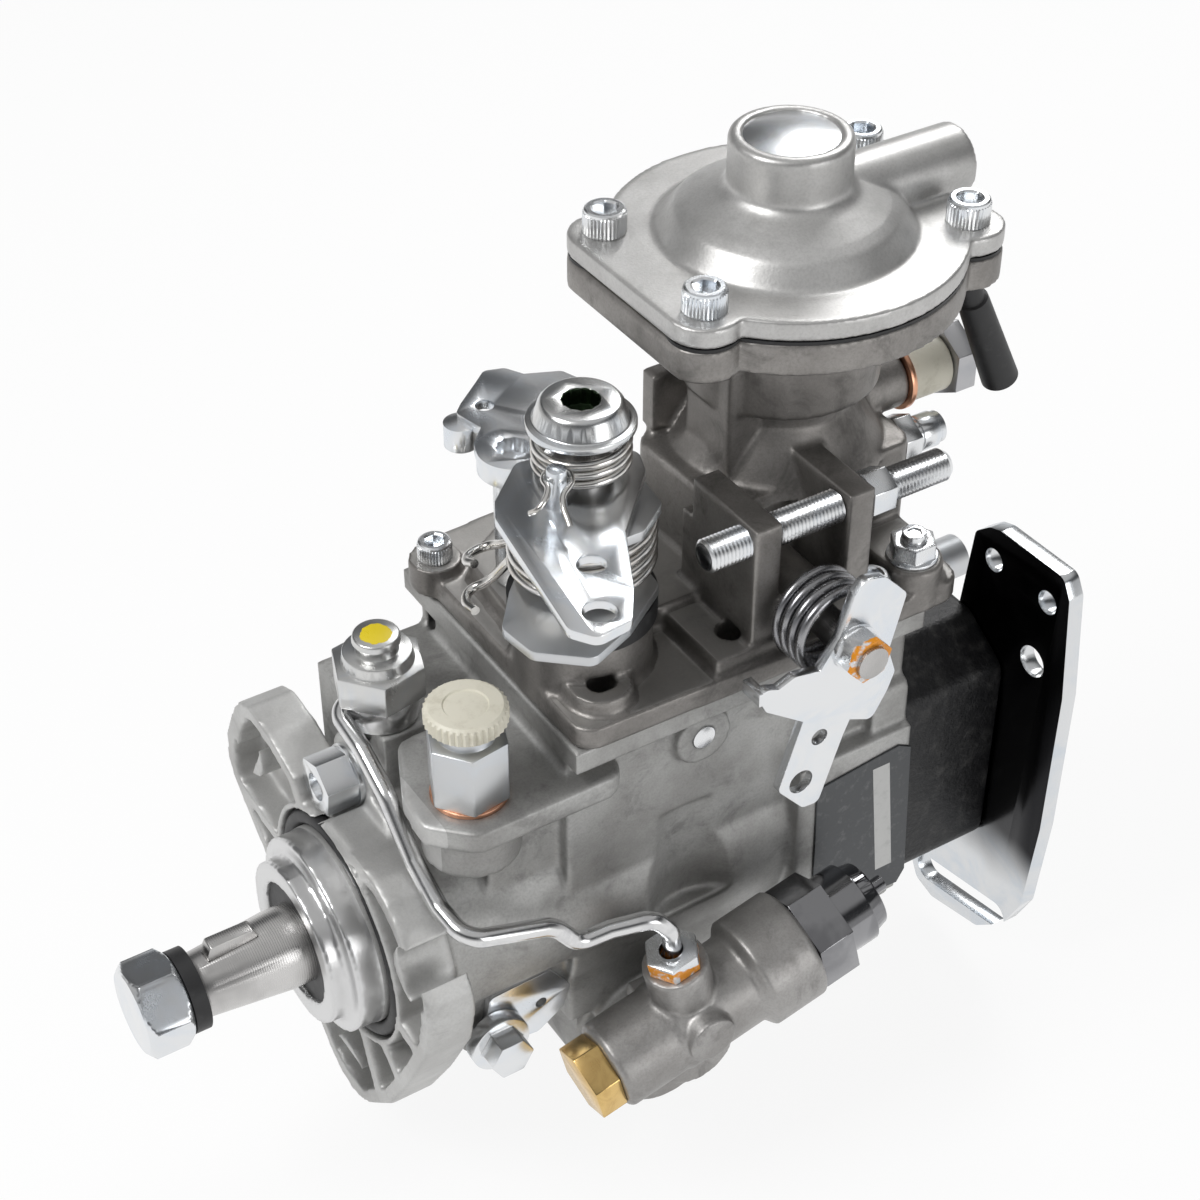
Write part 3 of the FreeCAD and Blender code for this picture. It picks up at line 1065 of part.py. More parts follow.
def stop_lever():
    """The stop shaft through the cover's side with its lever, coil spring and lock nut."""
    size(stop_plate_face=-58.6, stop_plate=2.4, stop_end=-66, stop_inner=-16, stop_spring_radius=10.4,
         stop_spring_wire=2.6, stop_nut=10, stop_nut_length=5.4, stop_tab=4)
    shaft = join(
        rod("stop_shaft_diameter", "stop_inner - stop_end", ("stop_x", "stop_inner", "stop_z"), "-y"),
        rod(4, 6, ("stop_x - 1.6", "stop_inner - 1", "stop_z"), "y"),
    )
    named("stop_shaft", shaft)
    lever = plate(STOP_LEVER_OUTLINE, "stop_plate", (0, "stop_plate_face + stop_plate", 0), "-y", 2)
    tab = block((79.4, "stop_plate_face", 75.6), (81.6, "stop_plate_face + stop_plate + stop_tab", 79))
    holes = [
        rod("stop_shaft_diameter + 0.04", 12, ("stop_x", -50, "stop_z"), "-y"),
        rod(4.4, 12, (97, -50, 58.6), "-y"),
        rod(6.4, 12, (92.6, -50, 47), "-y"),
    ]
    named("stop_lever", cut(join(lever, tab), *holes))
    named("stop_spring",
          coil("stop_spring_radius", "stop_spring_wire", 2.9, 4.1, ("stop_x", -42.6, "stop_z"), "-y"))


def nuts_and_stud():
    """The adjusting screws: the long stud, the set screw in the rear corner and the limit screw behind."""
    size(stud_start=80, stud_end=147, nut_ten=10, nut_ten_height=6.5, set_screw_top=84, set_screw_foot=65.4,
         set_screw=6, limit_screw=8, limit_reach=14)
    stud = rod("stud_diameter - 0.04", "stud_end - stud_start", ("stud_start", "stud_y", "stud_z"), "x")
    screw = cut(
        rod("set_screw - 0.04", "set_screw_top - set_screw_foot",
            ("corner_x", "corner_y", "set_screw_foot")),
        hexagon(3, 5, ("corner_x", "corner_y", "set_screw_top - 4")),
    )
    limit = join(
        rod("limit_screw - 0.04", "limit_reach + 10", ("limit_boss_end - 10", "limit_y", "limit_z"), "x"),
        rod("limit_screw + 1", 5, ("limit_boss_end + 7", "limit_y", "limit_z"), "x"),
    )
    named("adjusting_screws", group(stud, screw, limit))
    named("stop_lever_nut", cut(
        join(rod("stop_nut + 1.5", 1.2, ("stop_x", "stop_plate_face - 0.02", "stop_z"), "-y"),
             hexagon("stop_nut", "stop_nut_length", ("stop_x", "stop_plate_face - 1", "stop_z"), "-y", 12)),
        rod("stop_shaft_diameter + 0.04", 30, ("stop_x", -50, "stop_z"), "-y")))


def hex_nuts(pipe_nut):
    """The nuts that lock the adjusting screws, in one group with the nut of the pipe."""
    stud_nut = cut(
        hexagon("nut_ten", "nut_ten_height", ("lug_second + lug_thickness + 0.02", "stud_y", "stud_z"),
                "x"),
        rod("stud_diameter", 20, ("lug_second", "stud_y", "stud_z"), "x"))
    corner_nut = cut(
        join(rod(12.5, 1, ("corner_x", "corner_y", "corner_top + 0.02")),
             hexagon("nut_ten", 5, ("corner_x", "corner_y", "corner_top + 0.02"))),
        rod("set_screw", 20, ("corner_x", "corner_y", "corner_top - 2")))
    limit_nut = cut(
        hexagon("12", 5, ("limit_boss_end + 0.02", "limit_y", "limit_z"), "x"),
        rod("limit_screw", 20, ("limit_boss_end - 2", "limit_y", "limit_z"), "x"))
    named("hex_nuts", group(stud_nut, corner_nut, limit_nut, pipe_nut))


def connections():
    """The inlet and return fittings with their caps and washers, the pressure valve and the plugs."""
    size(
        inlet_flats=17, inlet_washer=1.2, inlet_hex_height=16.3, cap_outer=19, cap_height=4.8,
        inlet_cap_top=80,
        inlet_neck=13, inlet_copper=18, return_copper=17, return_flats=17, cream_diameter=15,
        cream_length=12,
        valve_hex=20, valve_banjo_top=60, valve_hex_height=8.5, valve_disc=17, valve_top=76, plug_flats=13,
        tube_small=6, tube_large=9, tube_length=34,
    )
    inlet = cut(
        join(
            hexagon("inlet_flats", "inlet_hex_height",
                    ("inlet_x", "inlet_y", "inlet_deck + inlet_washer + 0.02"), "z", 8),
            rod("inlet_neck", 20, ("inlet_x", "inlet_y", "inlet_cap_top - 2.8 - 20")),
            rod("valve_bore - 0.04", 18, ("inlet_x", "inlet_y", "inlet_deck - 14")),
        ),
        rod(6, 60, ("inlet_x", "inlet_y", "inlet_deck - 15")))
    named("inlet_fitting", inlet)
    inlet_cap = cut(
        rod("cap_outer", "cap_height", ("inlet_x", "inlet_y", "inlet_cap_top - cap_height")),
        rod("inlet_neck + 0.04", 10, ("inlet_x", "inlet_y", "inlet_cap_top - 2.78 - 10")))
    return_cap = cut(
        rod("cream_diameter", "cream_length", ("return_boss_end + 1.7", "return_y", "return_z"), "x"),
        rod(9.94, 40, ("return_boss_end - 5", "return_y", "return_z"), "x"))
    named("transport_caps", group(inlet_cap, return_cap))
    inlet_ring = ring("inlet_copper", "valve_bore", "inlet_washer",
                      ("inlet_x", "inlet_y", "inlet_deck + 0.01"))
    return_ring = ring("return_copper", "valve_bore", "1.6",
                       ("return_boss_end + 0.02", "return_y", "return_z"), "x")
    named("copper_washers", group(inlet_ring, return_ring))
    bolt = join(
        rod(9.9, "cream_length + 10", ("return_boss_end - 8", "return_y", "return_z"), "x"),
        hexagon("return_flats", 6, ("return_boss_end + cream_length + 1.75", "return_y", "return_z"), "x"),
    )
    named("return_fitting", bolt)
    valve = turned(
        [("deck_height - 10.5", 0), ("deck_height - 10.5", "valve_bore / 2 - 0.02"),
         ("valve_banjo_top + 0.02", "valve_bore / 2 - 0.02"),
         ("valve_banjo_top + 0.02", "valve_hex / 2 - 1"), ("valve_banjo_top + 0.5", "valve_hex / 2"),
         ("valve_banjo_top + valve_hex_height", "valve_hex / 2"),
         ("valve_banjo_top + valve_hex_height", "valve_disc / 2"),
         ("valve_banjo_top + valve_hex_height + 3", "valve_disc / 2 - 0.4"),
         ("valve_banjo_top + valve_hex_height + 3", "5"), ("valve_top - 2", "5"), ("valve_top - 2", "5.8"),
         ("valve_top", "5.4"), ("valve_top", 0)],
        ("valve_x", "valve_y", 0), "z")
    valve_hex = hexagon("valve_hex", "valve_hex_height", ("valve_x", "valve_y", "valve_banjo_top + 0.02"),
                        "z", 10)
    named("pressure_valve", join(valve, valve_hex))
    front = join(
        hexagon("plug_flats", 8, ("plug_face - 9.5", "plug_y", "plug_z"), "x", 10),
        rod(15.5, 1.5, ("plug_face - 1.52", "plug_y", "plug_z"), "x"),
        rod(7.96, 7, ("plug_face - 2", "plug_y", "plug_z"), "x"),
    )
    front = cut(front, rod(7, 5, ("plug_face - 10", "plug_y", "plug_z"), "x"))
    side = rod(5.96, 4.6, ("side_boss_x", "side_boss_face + 4.6", "side_boss_z"), "-y")
    pressed = rod("plug_diameter", "plug_depth - 0.6",
                  ("boost_x", "boost_y", "boss_top - plug_depth + 0.02"))
    named("screw_plugs", group(front, side, pressed))
    start, end = Vector(161, -20, 138.05), Vector(177, -20, 103.05)
    tube = Part.makeCone(value("tube_small") / 2, value("tube_large") / 2, value("tube_length"))
    named("vent_tube", formed(tube, (161, -20, 138.05), Rotation(Vector(0, 0, 1), end - start)))


PIPE_CORNERS = [
    Vector(20.5, 8.5, 57.3), Vector(9.6, 12.5, 57.2), Vector(9.6, -2.5, 54.4), Vector(9.6, -14, 48.6),
    Vector(9.6, -25, 38), Vector(10.2, -35.6, 31.2), Vector(11.2, -46.2, 29.6), Vector(32.5, -47.5, 23.6),
    Vector(38.5, -49, 16), Vector(46.2, -50.5, 17.4), Vector(56, -54, 18.6), Vector(59.9, -55, 13),
    Vector(61.3, -55, 3),
]


def bent_pipe(corners, bends, diameter):
    """A pipe along straight runs that meet in round bends, each as large as its corner allows."""
    edges = []
    last = corners[0]
    for before, corner, after, bend in zip(corners, corners[1:], corners[2:], bends):
        towards = (corner - before).normalize()
        away = (after - corner).normalize()
        turn = towards.getAngle(away)
        reach = bend * math.tan(turn / 2)
        start = corner - towards * reach
        end = corner + away * reach
        middle = corner + (away - towards).normalize() * (bend / math.cos(turn / 2) - bend)
        if (start - last).Length > 0.01:
            edges.append(Part.LineSegment(last, start).toShape())
        edges.append(Part.Arc(start, middle, end).toShape())
        last = end
    edges.append(Part.LineSegment(last, corners[-1]).toShape())
    path = Part.Wire(edges)
    circle = Part.makeCircle(diameter / 2, corners[0], corners[1] - corners[0])
    return path.makePipeShell([Part.Wire(circle)], True, False)


def pressure_pipe():
    """The steel pipe from the pressure valve round the flange to the cold-start unit, with its banjo ring."""
    size(pipe_diameter=4.5, banjo_outer=18, banjo_low=53)
    bends = [4.5, 6, 9, 9, 7, 6, 9, 5, 6, 5, 4]
    pipe = bent_pipe(PIPE_CORNERS, bends, value("pipe_diameter"))
    eye = Part.makeCylinder(value("banjo_outer") / 2, value("valve_banjo_top - banjo_low"),
                            Vector(value("valve_x"), value("valve_y"), value("banjo_low")))
    bore = Part.makeCylinder(value("valve_bore") / 2 + 0.05, 30,
                             Vector(value("valve_x"), value("valve_y"), 45))
    named("pressure_pipe", formed(pipe.fuse(eye).cut(bore).removeSplitter()))


def cold_start_unit():
    """The timing unit on the near side: a long body with a brass plug, a solenoid and a boss for the pipe."""
    size(
        unit_y=-55, unit_z=-18, unit_tilt=13, unit_small=22.6, unit_step=23.6, unit_large=29,
        unit_left=-25.5,
        unit_first=-8, unit_second=16, unit_right=31, boss_up=16, boss_up_top=20.8, boss_out=12.5,
        unit_foot=30,
        foot_face=-39.3, brass_flats=17, solenoid_flats=24, solenoid_body=21, solenoid_cap=19,
        pipe_nut_flats=12,
        brass_bore=11, solenoid_bore=16,
    )
    tilt = Rotation(Vector(0, 1, 0), -value("unit_tilt"))
    at = ("timing_x", "unit_y", "unit_z")
    centre = Placement(Vector(*[value(text) for text in at]), tilt)

    def across(kind, width, length, offset, turn=Rotation()):
        """A rod or a hexagon placed in the unit's own tilted frame."""
        thing = document.addObject(kind, "Piece")
        if kind == "Part::Prism":
            thing.Polygon = 6
            bind(thing, "Circumradius", "(%s) * %.7f" % (width, HEXAGON_CORNER))
        else:
            bind(thing, "Radius", "(%s) / 2" % width)
        bind(thing, "Height", length)
        thing.Placement = centre * Placement(Vector(*[value(text) for text in offset]), turn)
        return thing

    body = turned(
        [("unit_left", 0), ("unit_left", "unit_small / 2 - 1"), ("unit_left + 1", "unit_small / 2"),
         ("unit_first", "unit_small / 2"), ("unit_first", "unit_step / 2"),
         ("unit_second - 2", "unit_step / 2"),
         ("unit_second", "unit_large / 2"), ("unit_right - 1", "unit_large / 2"),
         ("unit_right", "unit_large / 2 - 1.5"),
         ("unit_right", 0)], at, turn=tilt)
    whole = join(
        body,
        across("Part::Cylinder", "boss_up", "boss_up_top", (-1, 0, 0)),
        rod("unit_foot", 7.2, ("timing_x", "foot_face", "timing_z"), "-y"),
        rod("20", 8.2, (75.5, "foot_face", -46.5), "-y"),
        block(("timing_x - 9", "foot_face - 14", "timing_z + 2"), ("timing_x + 13", "foot_face", "unit_z")),
        rod("boss_out", 13, (64.5, "unit_y", "unit_z + 2.5"), "-y"),
    )
    axis = ROD_ALONG["x"]
    bores = [
        across("Part::Cylinder", "6.04", "20", (-1, 0, 6)),
        across("Part::Cylinder", "brass_bore", "12", ("unit_left - 1", 0, 0), axis),
        across("Part::Cylinder", "solenoid_bore", "13", ("unit_right - 12", 0, 0), axis),
    ]
    named("cold_start_body", cut(whole, *bores))
    named("cold_start_plug", join(
        across("Part::Prism", "brass_flats", "7", ("unit_left - 7.05", 0, 0), axis),
        across("Part::Cylinder", "brass_bore - 0.06", "10", ("unit_left - 1", 0, 0), axis)))
    shell = turned(
        [("unit_right + 9", 0), ("unit_right + 9", "solenoid_body / 2"),
         ("unit_right + 18", "solenoid_body / 2"),
         ("unit_right + 18", "solenoid_cap / 2"), ("unit_right + 22", "solenoid_cap / 2 - 1"),
         ("unit_right + 22", "2"),
         ("unit_right + 27", "2"), ("unit_right + 27", 0)], at, turn=tilt)
    named("cold_start_solenoid", join(
        shell,
        across("Part::Prism", "solenoid_flats", "10", ("unit_right + 0.05", 0, 0), axis),
        across("Part::Cylinder", "solenoid_bore - 0.06", "20", ("unit_right - 10", 0, 0), axis)))
    return cut(
        across("Part::Prism", "pipe_nut_flats", "5", (-1, 0, "boss_up_top + 0.02")),
        across("Part::Cylinder", "pipe_diameter + 1.2", "20", (-1, 0, "boss_up_top - 5")))


def timing_parts():
    """The timing piston, and the cover on the far end of its bore."""
    size(piston_start=-22, piston_end=20, timing_cover=38, timing_cover_thickness=5)
    piston = rod("timing_bore", "piston_end - piston_start", ("timing_x", "piston_start", "timing_z"), "y")
    hollow = rod("timing_bore - 6", 14, ("timing_x", "piston_end - 10", "timing_z"), "y")
    slot = block(("timing_x - ring_pin_diameter / 2 - 0.3", -5, "timing_z - 5"),
                 ("timing_x + ring_pin_diameter / 2 + 0.3", 5, "timing_z + 20"))
    named("timing_piston", cut(piston, hollow, slot))
    cover = rod("timing_cover", "timing_cover_thickness",
                ("timing_x", "timing_half_length + 0.02", "timing_z"), "y")
    named("timing_cover", cover)


def lock_parts():
    """The hexagon bolt with its collar behind the flange, and the plate under it."""
    size(lock_plate=2, lock_collar=15.5, lock_collar_length=4, lock_flats=10, lock_head=5.5)
    body = plate([(22, -22), (24, -9), (38, -8.5), (42.6, -15), (41, -20), (35, -24)], "lock_plate",
                 (0, "lock_face - 0.02", 0), "-y", 2)
    named("lock_plate", cut(body, rod(8.4, 10, ("lock_x", "lock_face + 4", "lock_z"), "-y"),
                            rod(3, 10, (36.4, "lock_face + 4", -16.3), "-y")))
    bolt = join(
        rod("lock_collar", "lock_collar_length", ("lock_x", "lock_face - lock_plate - 0.04", "lock_z"),
            "-y"),
        hexagon("lock_flats", "lock_head",
                ("lock_x", "lock_face - lock_plate - lock_collar_length", "lock_z"), "-y"),
        rod(7.96, 10, ("lock_x", "lock_face + 6", "lock_z"), "-y"),
    )
    named("lock_bolt", bolt)


pump_housing()
drive_shaft()
shaft_key()
shaft_nut()
shaft_seals()
vane_pump()
gears_and_governor()
metering_parts()
distributor_head()
screws()
governor_cover()
boost_unit()
throttle_parts()
stop_lever()
nuts_and_stud()
support_bracket()
connections()
timing_parts()
pressure_pipe()
hex_nuts(cold_start_unit())
lock_parts()
document.recompute()

os.makedirs("parts", exist_ok=True)
for thing in document.Objects:
    if "Invalid" in thing.State or "Error" in thing.State:
        raise RuntimeError("%s (%s) could not be built" % (thing.Label, thing.Name))
for piece in pieces:
    if piece.Shape.isNull() or not piece.Shape.isValid():
        raise RuntimeError(piece.Label + " has no valid shape")
    piece.Shape.exportStep("parts/%s.step" % piece.Label)
print(len(pieces), "sub-parts")
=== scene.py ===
import math

import bmesh
import bpy
from mathutils import Matrix, Vector


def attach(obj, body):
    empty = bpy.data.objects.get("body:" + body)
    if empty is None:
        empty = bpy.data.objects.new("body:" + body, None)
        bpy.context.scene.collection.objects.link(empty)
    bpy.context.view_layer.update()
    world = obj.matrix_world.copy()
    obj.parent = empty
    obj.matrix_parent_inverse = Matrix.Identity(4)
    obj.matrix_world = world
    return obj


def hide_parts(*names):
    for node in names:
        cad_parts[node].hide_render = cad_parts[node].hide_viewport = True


# The diesel injection pump, dressed piece by piece in the order in which it is put together.
# A mesh is made in millimetres and then placed in metres; patterns in a material read metres.
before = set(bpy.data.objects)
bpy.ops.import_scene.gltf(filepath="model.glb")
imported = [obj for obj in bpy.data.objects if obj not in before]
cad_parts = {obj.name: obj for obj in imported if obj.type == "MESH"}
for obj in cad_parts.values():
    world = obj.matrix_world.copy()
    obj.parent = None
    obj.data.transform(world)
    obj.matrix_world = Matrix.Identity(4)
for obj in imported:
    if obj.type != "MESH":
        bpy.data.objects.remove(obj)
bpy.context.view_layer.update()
scene = bpy.context.scene
scene.view_settings.view_transform = "Standard"

# The studio: a pale floor far below the pump, a soft light from the upper left, a weaker one from the right
# and a long lens at the photograph's angle.
CAMERA_PLACE = (-0.15611, -0.36677, 0.41294)
CAMERA_AXES = ((0.8457, -0.5336, 0.0), (0.3322, 0.5264, 0.7826), (-0.4176, -0.6619, 0.6225))
camera = bpy.data.objects.new("camera", bpy.data.cameras.new("camera"))
camera.data.lens = 70.35
camera.data.sensor_width = 36
camera.data.clip_start = 0.01
camera.matrix_world = Matrix.Translation(CAMERA_PLACE) @ Matrix(CAMERA_AXES).transposed().to_4x4()
scene.collection.objects.link(camera)
scene.camera = camera


def area_light(name, place, target, width, watts, tint=(1, 1, 1)):
    """A square soft light that looks at a point."""
    light = bpy.data.objects.new(name, bpy.data.lights.new(name, "AREA"))
    light.data.size = width
    light.data.energy = watts
    light.data.color = tint
    direction = Vector(target) - Vector(place)
    light.matrix_world = Matrix.Translation(place) @ direction.to_track_quat("-Z", "Y").to_matrix().to_4x4()
    scene.collection.objects.link(light)


area_light("key_light", (-0.7, 0.05, 0.95), (0.06, 0, 0.04), 0.45, 8.5)
area_light("fill_light", (0.35, -1.0, 0.3), (0.08, 0, 0.03), 0.5, 2.2)
area_light("rim_light", (0.7, 0.45, 0.75), (0.1, 0, 0.05), 0.4, 3.5)


class Shade:
    """One value in a material. Python's own operators on it add Math nodes."""

    def __init__(self, finish, socket):
        self.finish = finish
        self.socket = socket

    def maths(self, operation, *values):
        return self.finish.node("ShaderNodeMath", {"operation": operation}, *values)

    def __add__(self, other):
        return self.maths("ADD", self, other)

    __radd__ = __add__

    def __sub__(self, other):
        return self.maths("SUBTRACT", self, other)

    def __rsub__(self, other):
        return self.maths("SUBTRACT", other, self)

    def __mul__(self, other):
        return self.maths("MULTIPLY", self, other)

    __rmul__ = __mul__

    def __pow__(self, other):
        return self.maths("POWER", self, other)

    def __lt__(self, other):
        return self.maths("LESS_THAN", self, other)

    def __gt__(self, other):
        return self.maths("GREATER_THAN", self, other)

    def __abs__(self):
        return self.maths("ABSOLUTE", self)

    def clamp(self):
        return self.finish.node("ShaderNodeClamp", {}, self, 0.0, 1.0)

    def fade(self, low, high):
        """0 below the low value, 1 above the high one, and smooth between them."""
        settings = {"interpolation_type": "SMOOTHSTEP"}
        return self.finish.node("ShaderNodeMapRange", settings, self, float(low), float(high), 0.0, 1.0)


class Finish:
    """A material, with one method that adds any node to it."""

    def __init__(self, name, metallic=0.0, roughness=0.5):
        self.material = bpy.data.materials.new(name)
        self.material.use_nodes = True
        self.nodes = self.material.node_tree.nodes
        self.links = self.material.node_tree.links
        self.surface = self.nodes["Principled BSDF"]
        self.surface.inputs["Metallic"].default_value = metallic
        self.surface.inputs["Roughness"].default_value = roughness

    def node(self, kind, settings, *values, output=0, **named):
        """A node of a kind, with its settings and the numbers or links of its sockets. Gives one output."""
        made = self.nodes.new(kind)
        for setting, choice in settings.items():
            setattr(made, setting, choice)
        for key, value in list(enumerate(values)) + list(named.items()):
            socket = made.inputs[key.replace("_", " ").title() if isinstance(key, str) else key]
            if isinstance(value, Shade):
                self.links.new(value.socket, socket)
            else:
                socket.default_value = value
        return Shade(self, made.outputs[output])

    def place(self):
        """The point on the piece, in metres, in the pump's own frame."""
        return self.node("ShaderNodeTexCoord", {}, output="Object")

    def direction(self):
        """The way the surface faces, in the pump's own frame."""
        return self.node("ShaderNodeTexCoord", {}, output="Normal")

    def split(self, vector):
        """The three parts of a vector."""
        parts = self.nodes.new("ShaderNodeSeparateXYZ")
        self.links.new(vector.socket, parts.inputs[0])
        return [Shade(self, parts.outputs[axis]) for axis in "XYZ"]

    def noise(self, scale, detail=3.0, roughness=0.55, at=None, distortion=0.0):
        return self.node("ShaderNodeTexNoise", {}, vector=at or self.place(), scale=float(scale),
                         detail=float(detail), roughness=float(roughness), distortion=float(distortion))

    def blend(self, factor, first, second):
        """Two colours mixed by a factor. A colour is three numbers or a link."""
        mixed = self.nodes.new("ShaderNodeMix")
        mixed.data_type = "RGBA"
        for number, value in ((0, factor), (6, first), (7, second)):
            if isinstance(value, Shade):
                self.links.new(value.socket, mixed.inputs[number])
            else:
                mixed.inputs[number].default_value = tuple(value) + (1,) if number else value
        return Shade(self, mixed.outputs[2])

    def colour(self, value):
        self.set("Base Color", value)

    def set(self, socket, value):
        """Gives a socket of the shader a value or a link."""
        if isinstance(value, Shade):
            self.links.new(value.socket, self.surface.inputs[socket])
        else:
            self.surface.inputs[socket].default_value = tuple(value) + (1,) if socket == "Base Color" else value

    def bump(self, height, distance, strength=1.0):
        """Height in 0 to 1, over a distance in millimetres."""
        made = self.node("ShaderNodeBump", {}, strength=float(strength), distance=distance / 1000,
                         height=height)
        self.set("Normal", made)


class Room(Finish):
    """The same methods, for the nodes of a world."""

    def __init__(self, world):
        self.nodes = world.node_tree.nodes
        self.links = world.node_tree.links


def scene_piece(name, mesh):
    """A mesh or a curve as an object of the scene, at the origin."""
    piece = bpy.data.objects.new(name, mesh)
    scene.collection.objects.link(piece)
    return piece


FLOOR_HEIGHT, FLOOR_HALF, FLOOR_GLOW = -0.075, 6, 0.9
floor_finish = Finish("studio_floor", roughness=0.9)
floor_finish.colour((0.86, 0.86, 0.86))
seen_directly = floor_finish.node("ShaderNodeLightPath", {}, output="Is Camera Ray")
seen_in_gloss = floor_finish.node("ShaderNodeLightPath", {}, output="Is Glossy Ray")
seen = floor_finish.node("ShaderNodeMath", {"operation": "MAXIMUM"}, seen_directly, seen_in_gloss)
glow = floor_finish.node("ShaderNodeEmission", {}, color=(1, 1, 1, 1))
plain = Shade(floor_finish, floor_finish.surface.outputs[0])
either = floor_finish.node("ShaderNodeMixShader", {}, seen * FLOOR_GLOW, plain, glow)
floor_finish.links.new(either.socket, floor_finish.nodes["Material Output"].inputs["Surface"])
floor_mesh = bpy.data.meshes.new("floor")
SQUARE = ((-1, -1), (1, -1), (1, 1), (-1, 1))
floor_corners = [(x * FLOOR_HALF, y * FLOOR_HALF, FLOOR_HEIGHT) for x, y in SQUARE]
floor_mesh.from_pydata(floor_corners, [], [(0, 1, 2, 3)])
floor_mesh.materials.append(floor_finish.material)
scene_piece("floor", floor_mesh)

# The room's light: white overhead and at the horizon, with a grey band between, so that bright metal
# has something dark to mirror. The camera sees white.
BAND_HEIGHT = 0.45
world = bpy.data.worlds.new("room")
world.use_nodes = True
scene.world = world
room = Room(world)
height = room.split(room.node("ShaderNodeTexCoord", {}, output="Generated"))[2]
beside_band = abs(height - BAND_HEIGHT).fade(0.1, 0.3)
sky = room.blend(beside_band, (0.05, 0.052, 0.055), (0.52, 0.52, 0.52))
sky = room.blend(room.node("ShaderNodeLightPath", {}, output="Is Camera Ray"), sky, (1, 1, 1))
room.links.new(sky.socket, room.nodes["Background"].inputs["Color"])
room.nodes["Background"].inputs["Strength"].default_value = 1.0


# The main casting: light sand-blasted aluminium, machined on the flange's rim, the pilot and the nose.
# Its front is painted lighter, partly for that machined rim and partly as a painted highlight.
# A casting has no sharp edge and no sharp inner corner, so a copy of the solid is remeshed and smoothed.
MOST_TRIANGLES = 190000
WELD_DISTANCE = 0.000002
NEARLY_FLAT = math.radians(1.5)


def merged_copy(node, name, flatten=False):
    """A copy of a CAD node with its loose triangles merged, and its flat faces whole where asked."""
    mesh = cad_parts[node].data.copy()
    mesh.materials.clear()
    solid = bmesh.new()
    solid.from_mesh(mesh)
    bmesh.ops.remove_doubles(solid, verts=solid.verts, dist=WELD_DISTANCE)
    if flatten:
        bmesh.ops.dissolve_limit(solid, angle_limit=NEARLY_FLAT, verts=solid.verts, edges=solid.edges)
    solid.to_mesh(mesh)
    solid.free()
    return scene_piece(name, mesh)


def cast_copy(node, voxel, smoothing, body="housing", slot="cast_light"):
    """A copy of a CAD node with the round edges and corners of a casting, in place of the node."""
    piece = merged_copy(node, node + "_casting")
    remesh = piece.modifiers.new("grain", "REMESH")
    remesh.mode = "VOXEL"
    remesh.voxel_size = voxel / 1000
    soften = piece.modifiers.new("round", "SMOOTH")
    soften.factor = 0.5
    soften.iterations = smoothing
    bpy.context.view_layer.update()
    triangles = 2 * len(piece.evaluated_get(bpy.context.evaluated_depsgraph_get()).data.polygons)
    if triangles > MOST_TRIANGLES:
        thin = piece.modifiers.new("thin", "DECIMATE")
        thin.ratio = MOST_TRIANGLES / triangles
    return settle(piece, body, slot, node)


def settle(piece, body, slot, *nodes):
    """Turns a piece with its modifiers into a plain smooth mesh, and ties it to its body and its nodes."""
    bpy.context.view_layer.update()
    evaluated = piece.evaluated_get(bpy.context.evaluated_depsgraph_get())
    mesh = bpy.data.meshes.new_from_object(evaluated)
    piece.modifiers.clear()
    piece.data = mesh
    mesh.polygons.foreach_set("use_smooth", [True] * len(mesh.polygons))
    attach(piece, body)
    if nodes:
        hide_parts(*nodes)
    return piece


def paint(piece, finish):
    """Gives a piece its only material."""
    piece.data.materials.clear()
    piece.data.materials.append(finish.material)
    return piece


def cast_aluminium(name, light, dark, grain=0.05, roughness=0.5, stain=0.5):
    """Sand-blasted casting: fine grain, soft clouds of tone and darker dirt in patches."""
    finish = Finish(name, metallic=0.75)
    clouds = finish.noise(38, 4, 0.6)
    dirt = finish.noise(85, 5, 0.7, distortion=0.6).fade(0.48, 0.72) * stain
    grit = finish.noise(1500, 2, 0.7)
    tone = finish.blend(clouds.fade(0.3, 0.7), dark, light)
    tone = finish.blend(dirt, tone, [0.45 * part for part in dark])
    tone = finish.blend(grit.fade(0.35, 0.75) * 0.25, tone, [0.6 * part for part in dark])
    finish.colour(tone)
    finish.set("Roughness", clouds * 0.12 + dirt * 0.15 + (roughness - 0.06))
    finish.bump(grit * 0.7 + finish.noise(420, 2) * 0.6, grain)
    finish.tone = tone
    finish.grit = grit
    return finish


NOSE_RADIUS, FRONT_DEPTH = 0.0262, 0.013
housing_finish = cast_aluminium("sandblasted_housing", (0.5, 0.5, 0.49), (0.33, 0.325, 0.315))
along, across, up = housing_finish.split(housing_finish.place())
reach = (across * across + up * up) ** 0.5
nose_turned = (along < -0.0002) * (reach < NOSE_RADIUS)
rings = housing_finish.node("ShaderNodeTexWave", {"wave_type": "RINGS", "rings_direction": "X"}, scale=900.0,
                            vector=housing_finish.place(), distortion=0.4, detail=1.0)
# The front 13 mm, with the flange, is painted lighter: partly its machined rim, partly a painted highlight.
front_rim_and_painted_highlight = (along < FRONT_DEPTH) * 0.35
face_tone = housing_finish.blend(front_rim_and_painted_highlight, housing_finish.tone, (0.8, 0.8, 0.79))
housing_finish.colour(housing_finish.blend(nose_turned, face_tone, (0.66, 0.66, 0.66)))
housing_finish.set("Metallic", nose_turned * 0.22 + 0.75)
housing_finish.set("Roughness", (1 - nose_turned) * 0.24 + 0.27 + housing_finish.grit * 0.05)
housing_finish.bump((1 - nose_turned) * housing_finish.grit + nose_turned * rings * 0.35, 0.05)
paint(cast_copy("pump_housing", 0.8, 3), housing_finish)


# The drive shaft: ground steel with a taper, a key and a thread for its nut. It is turned and ground
# between centres, so its marks are fine rings.
MACHINED_SHARP, TURNED_SHARP, BROKEN_EDGE = 38, 28, 32


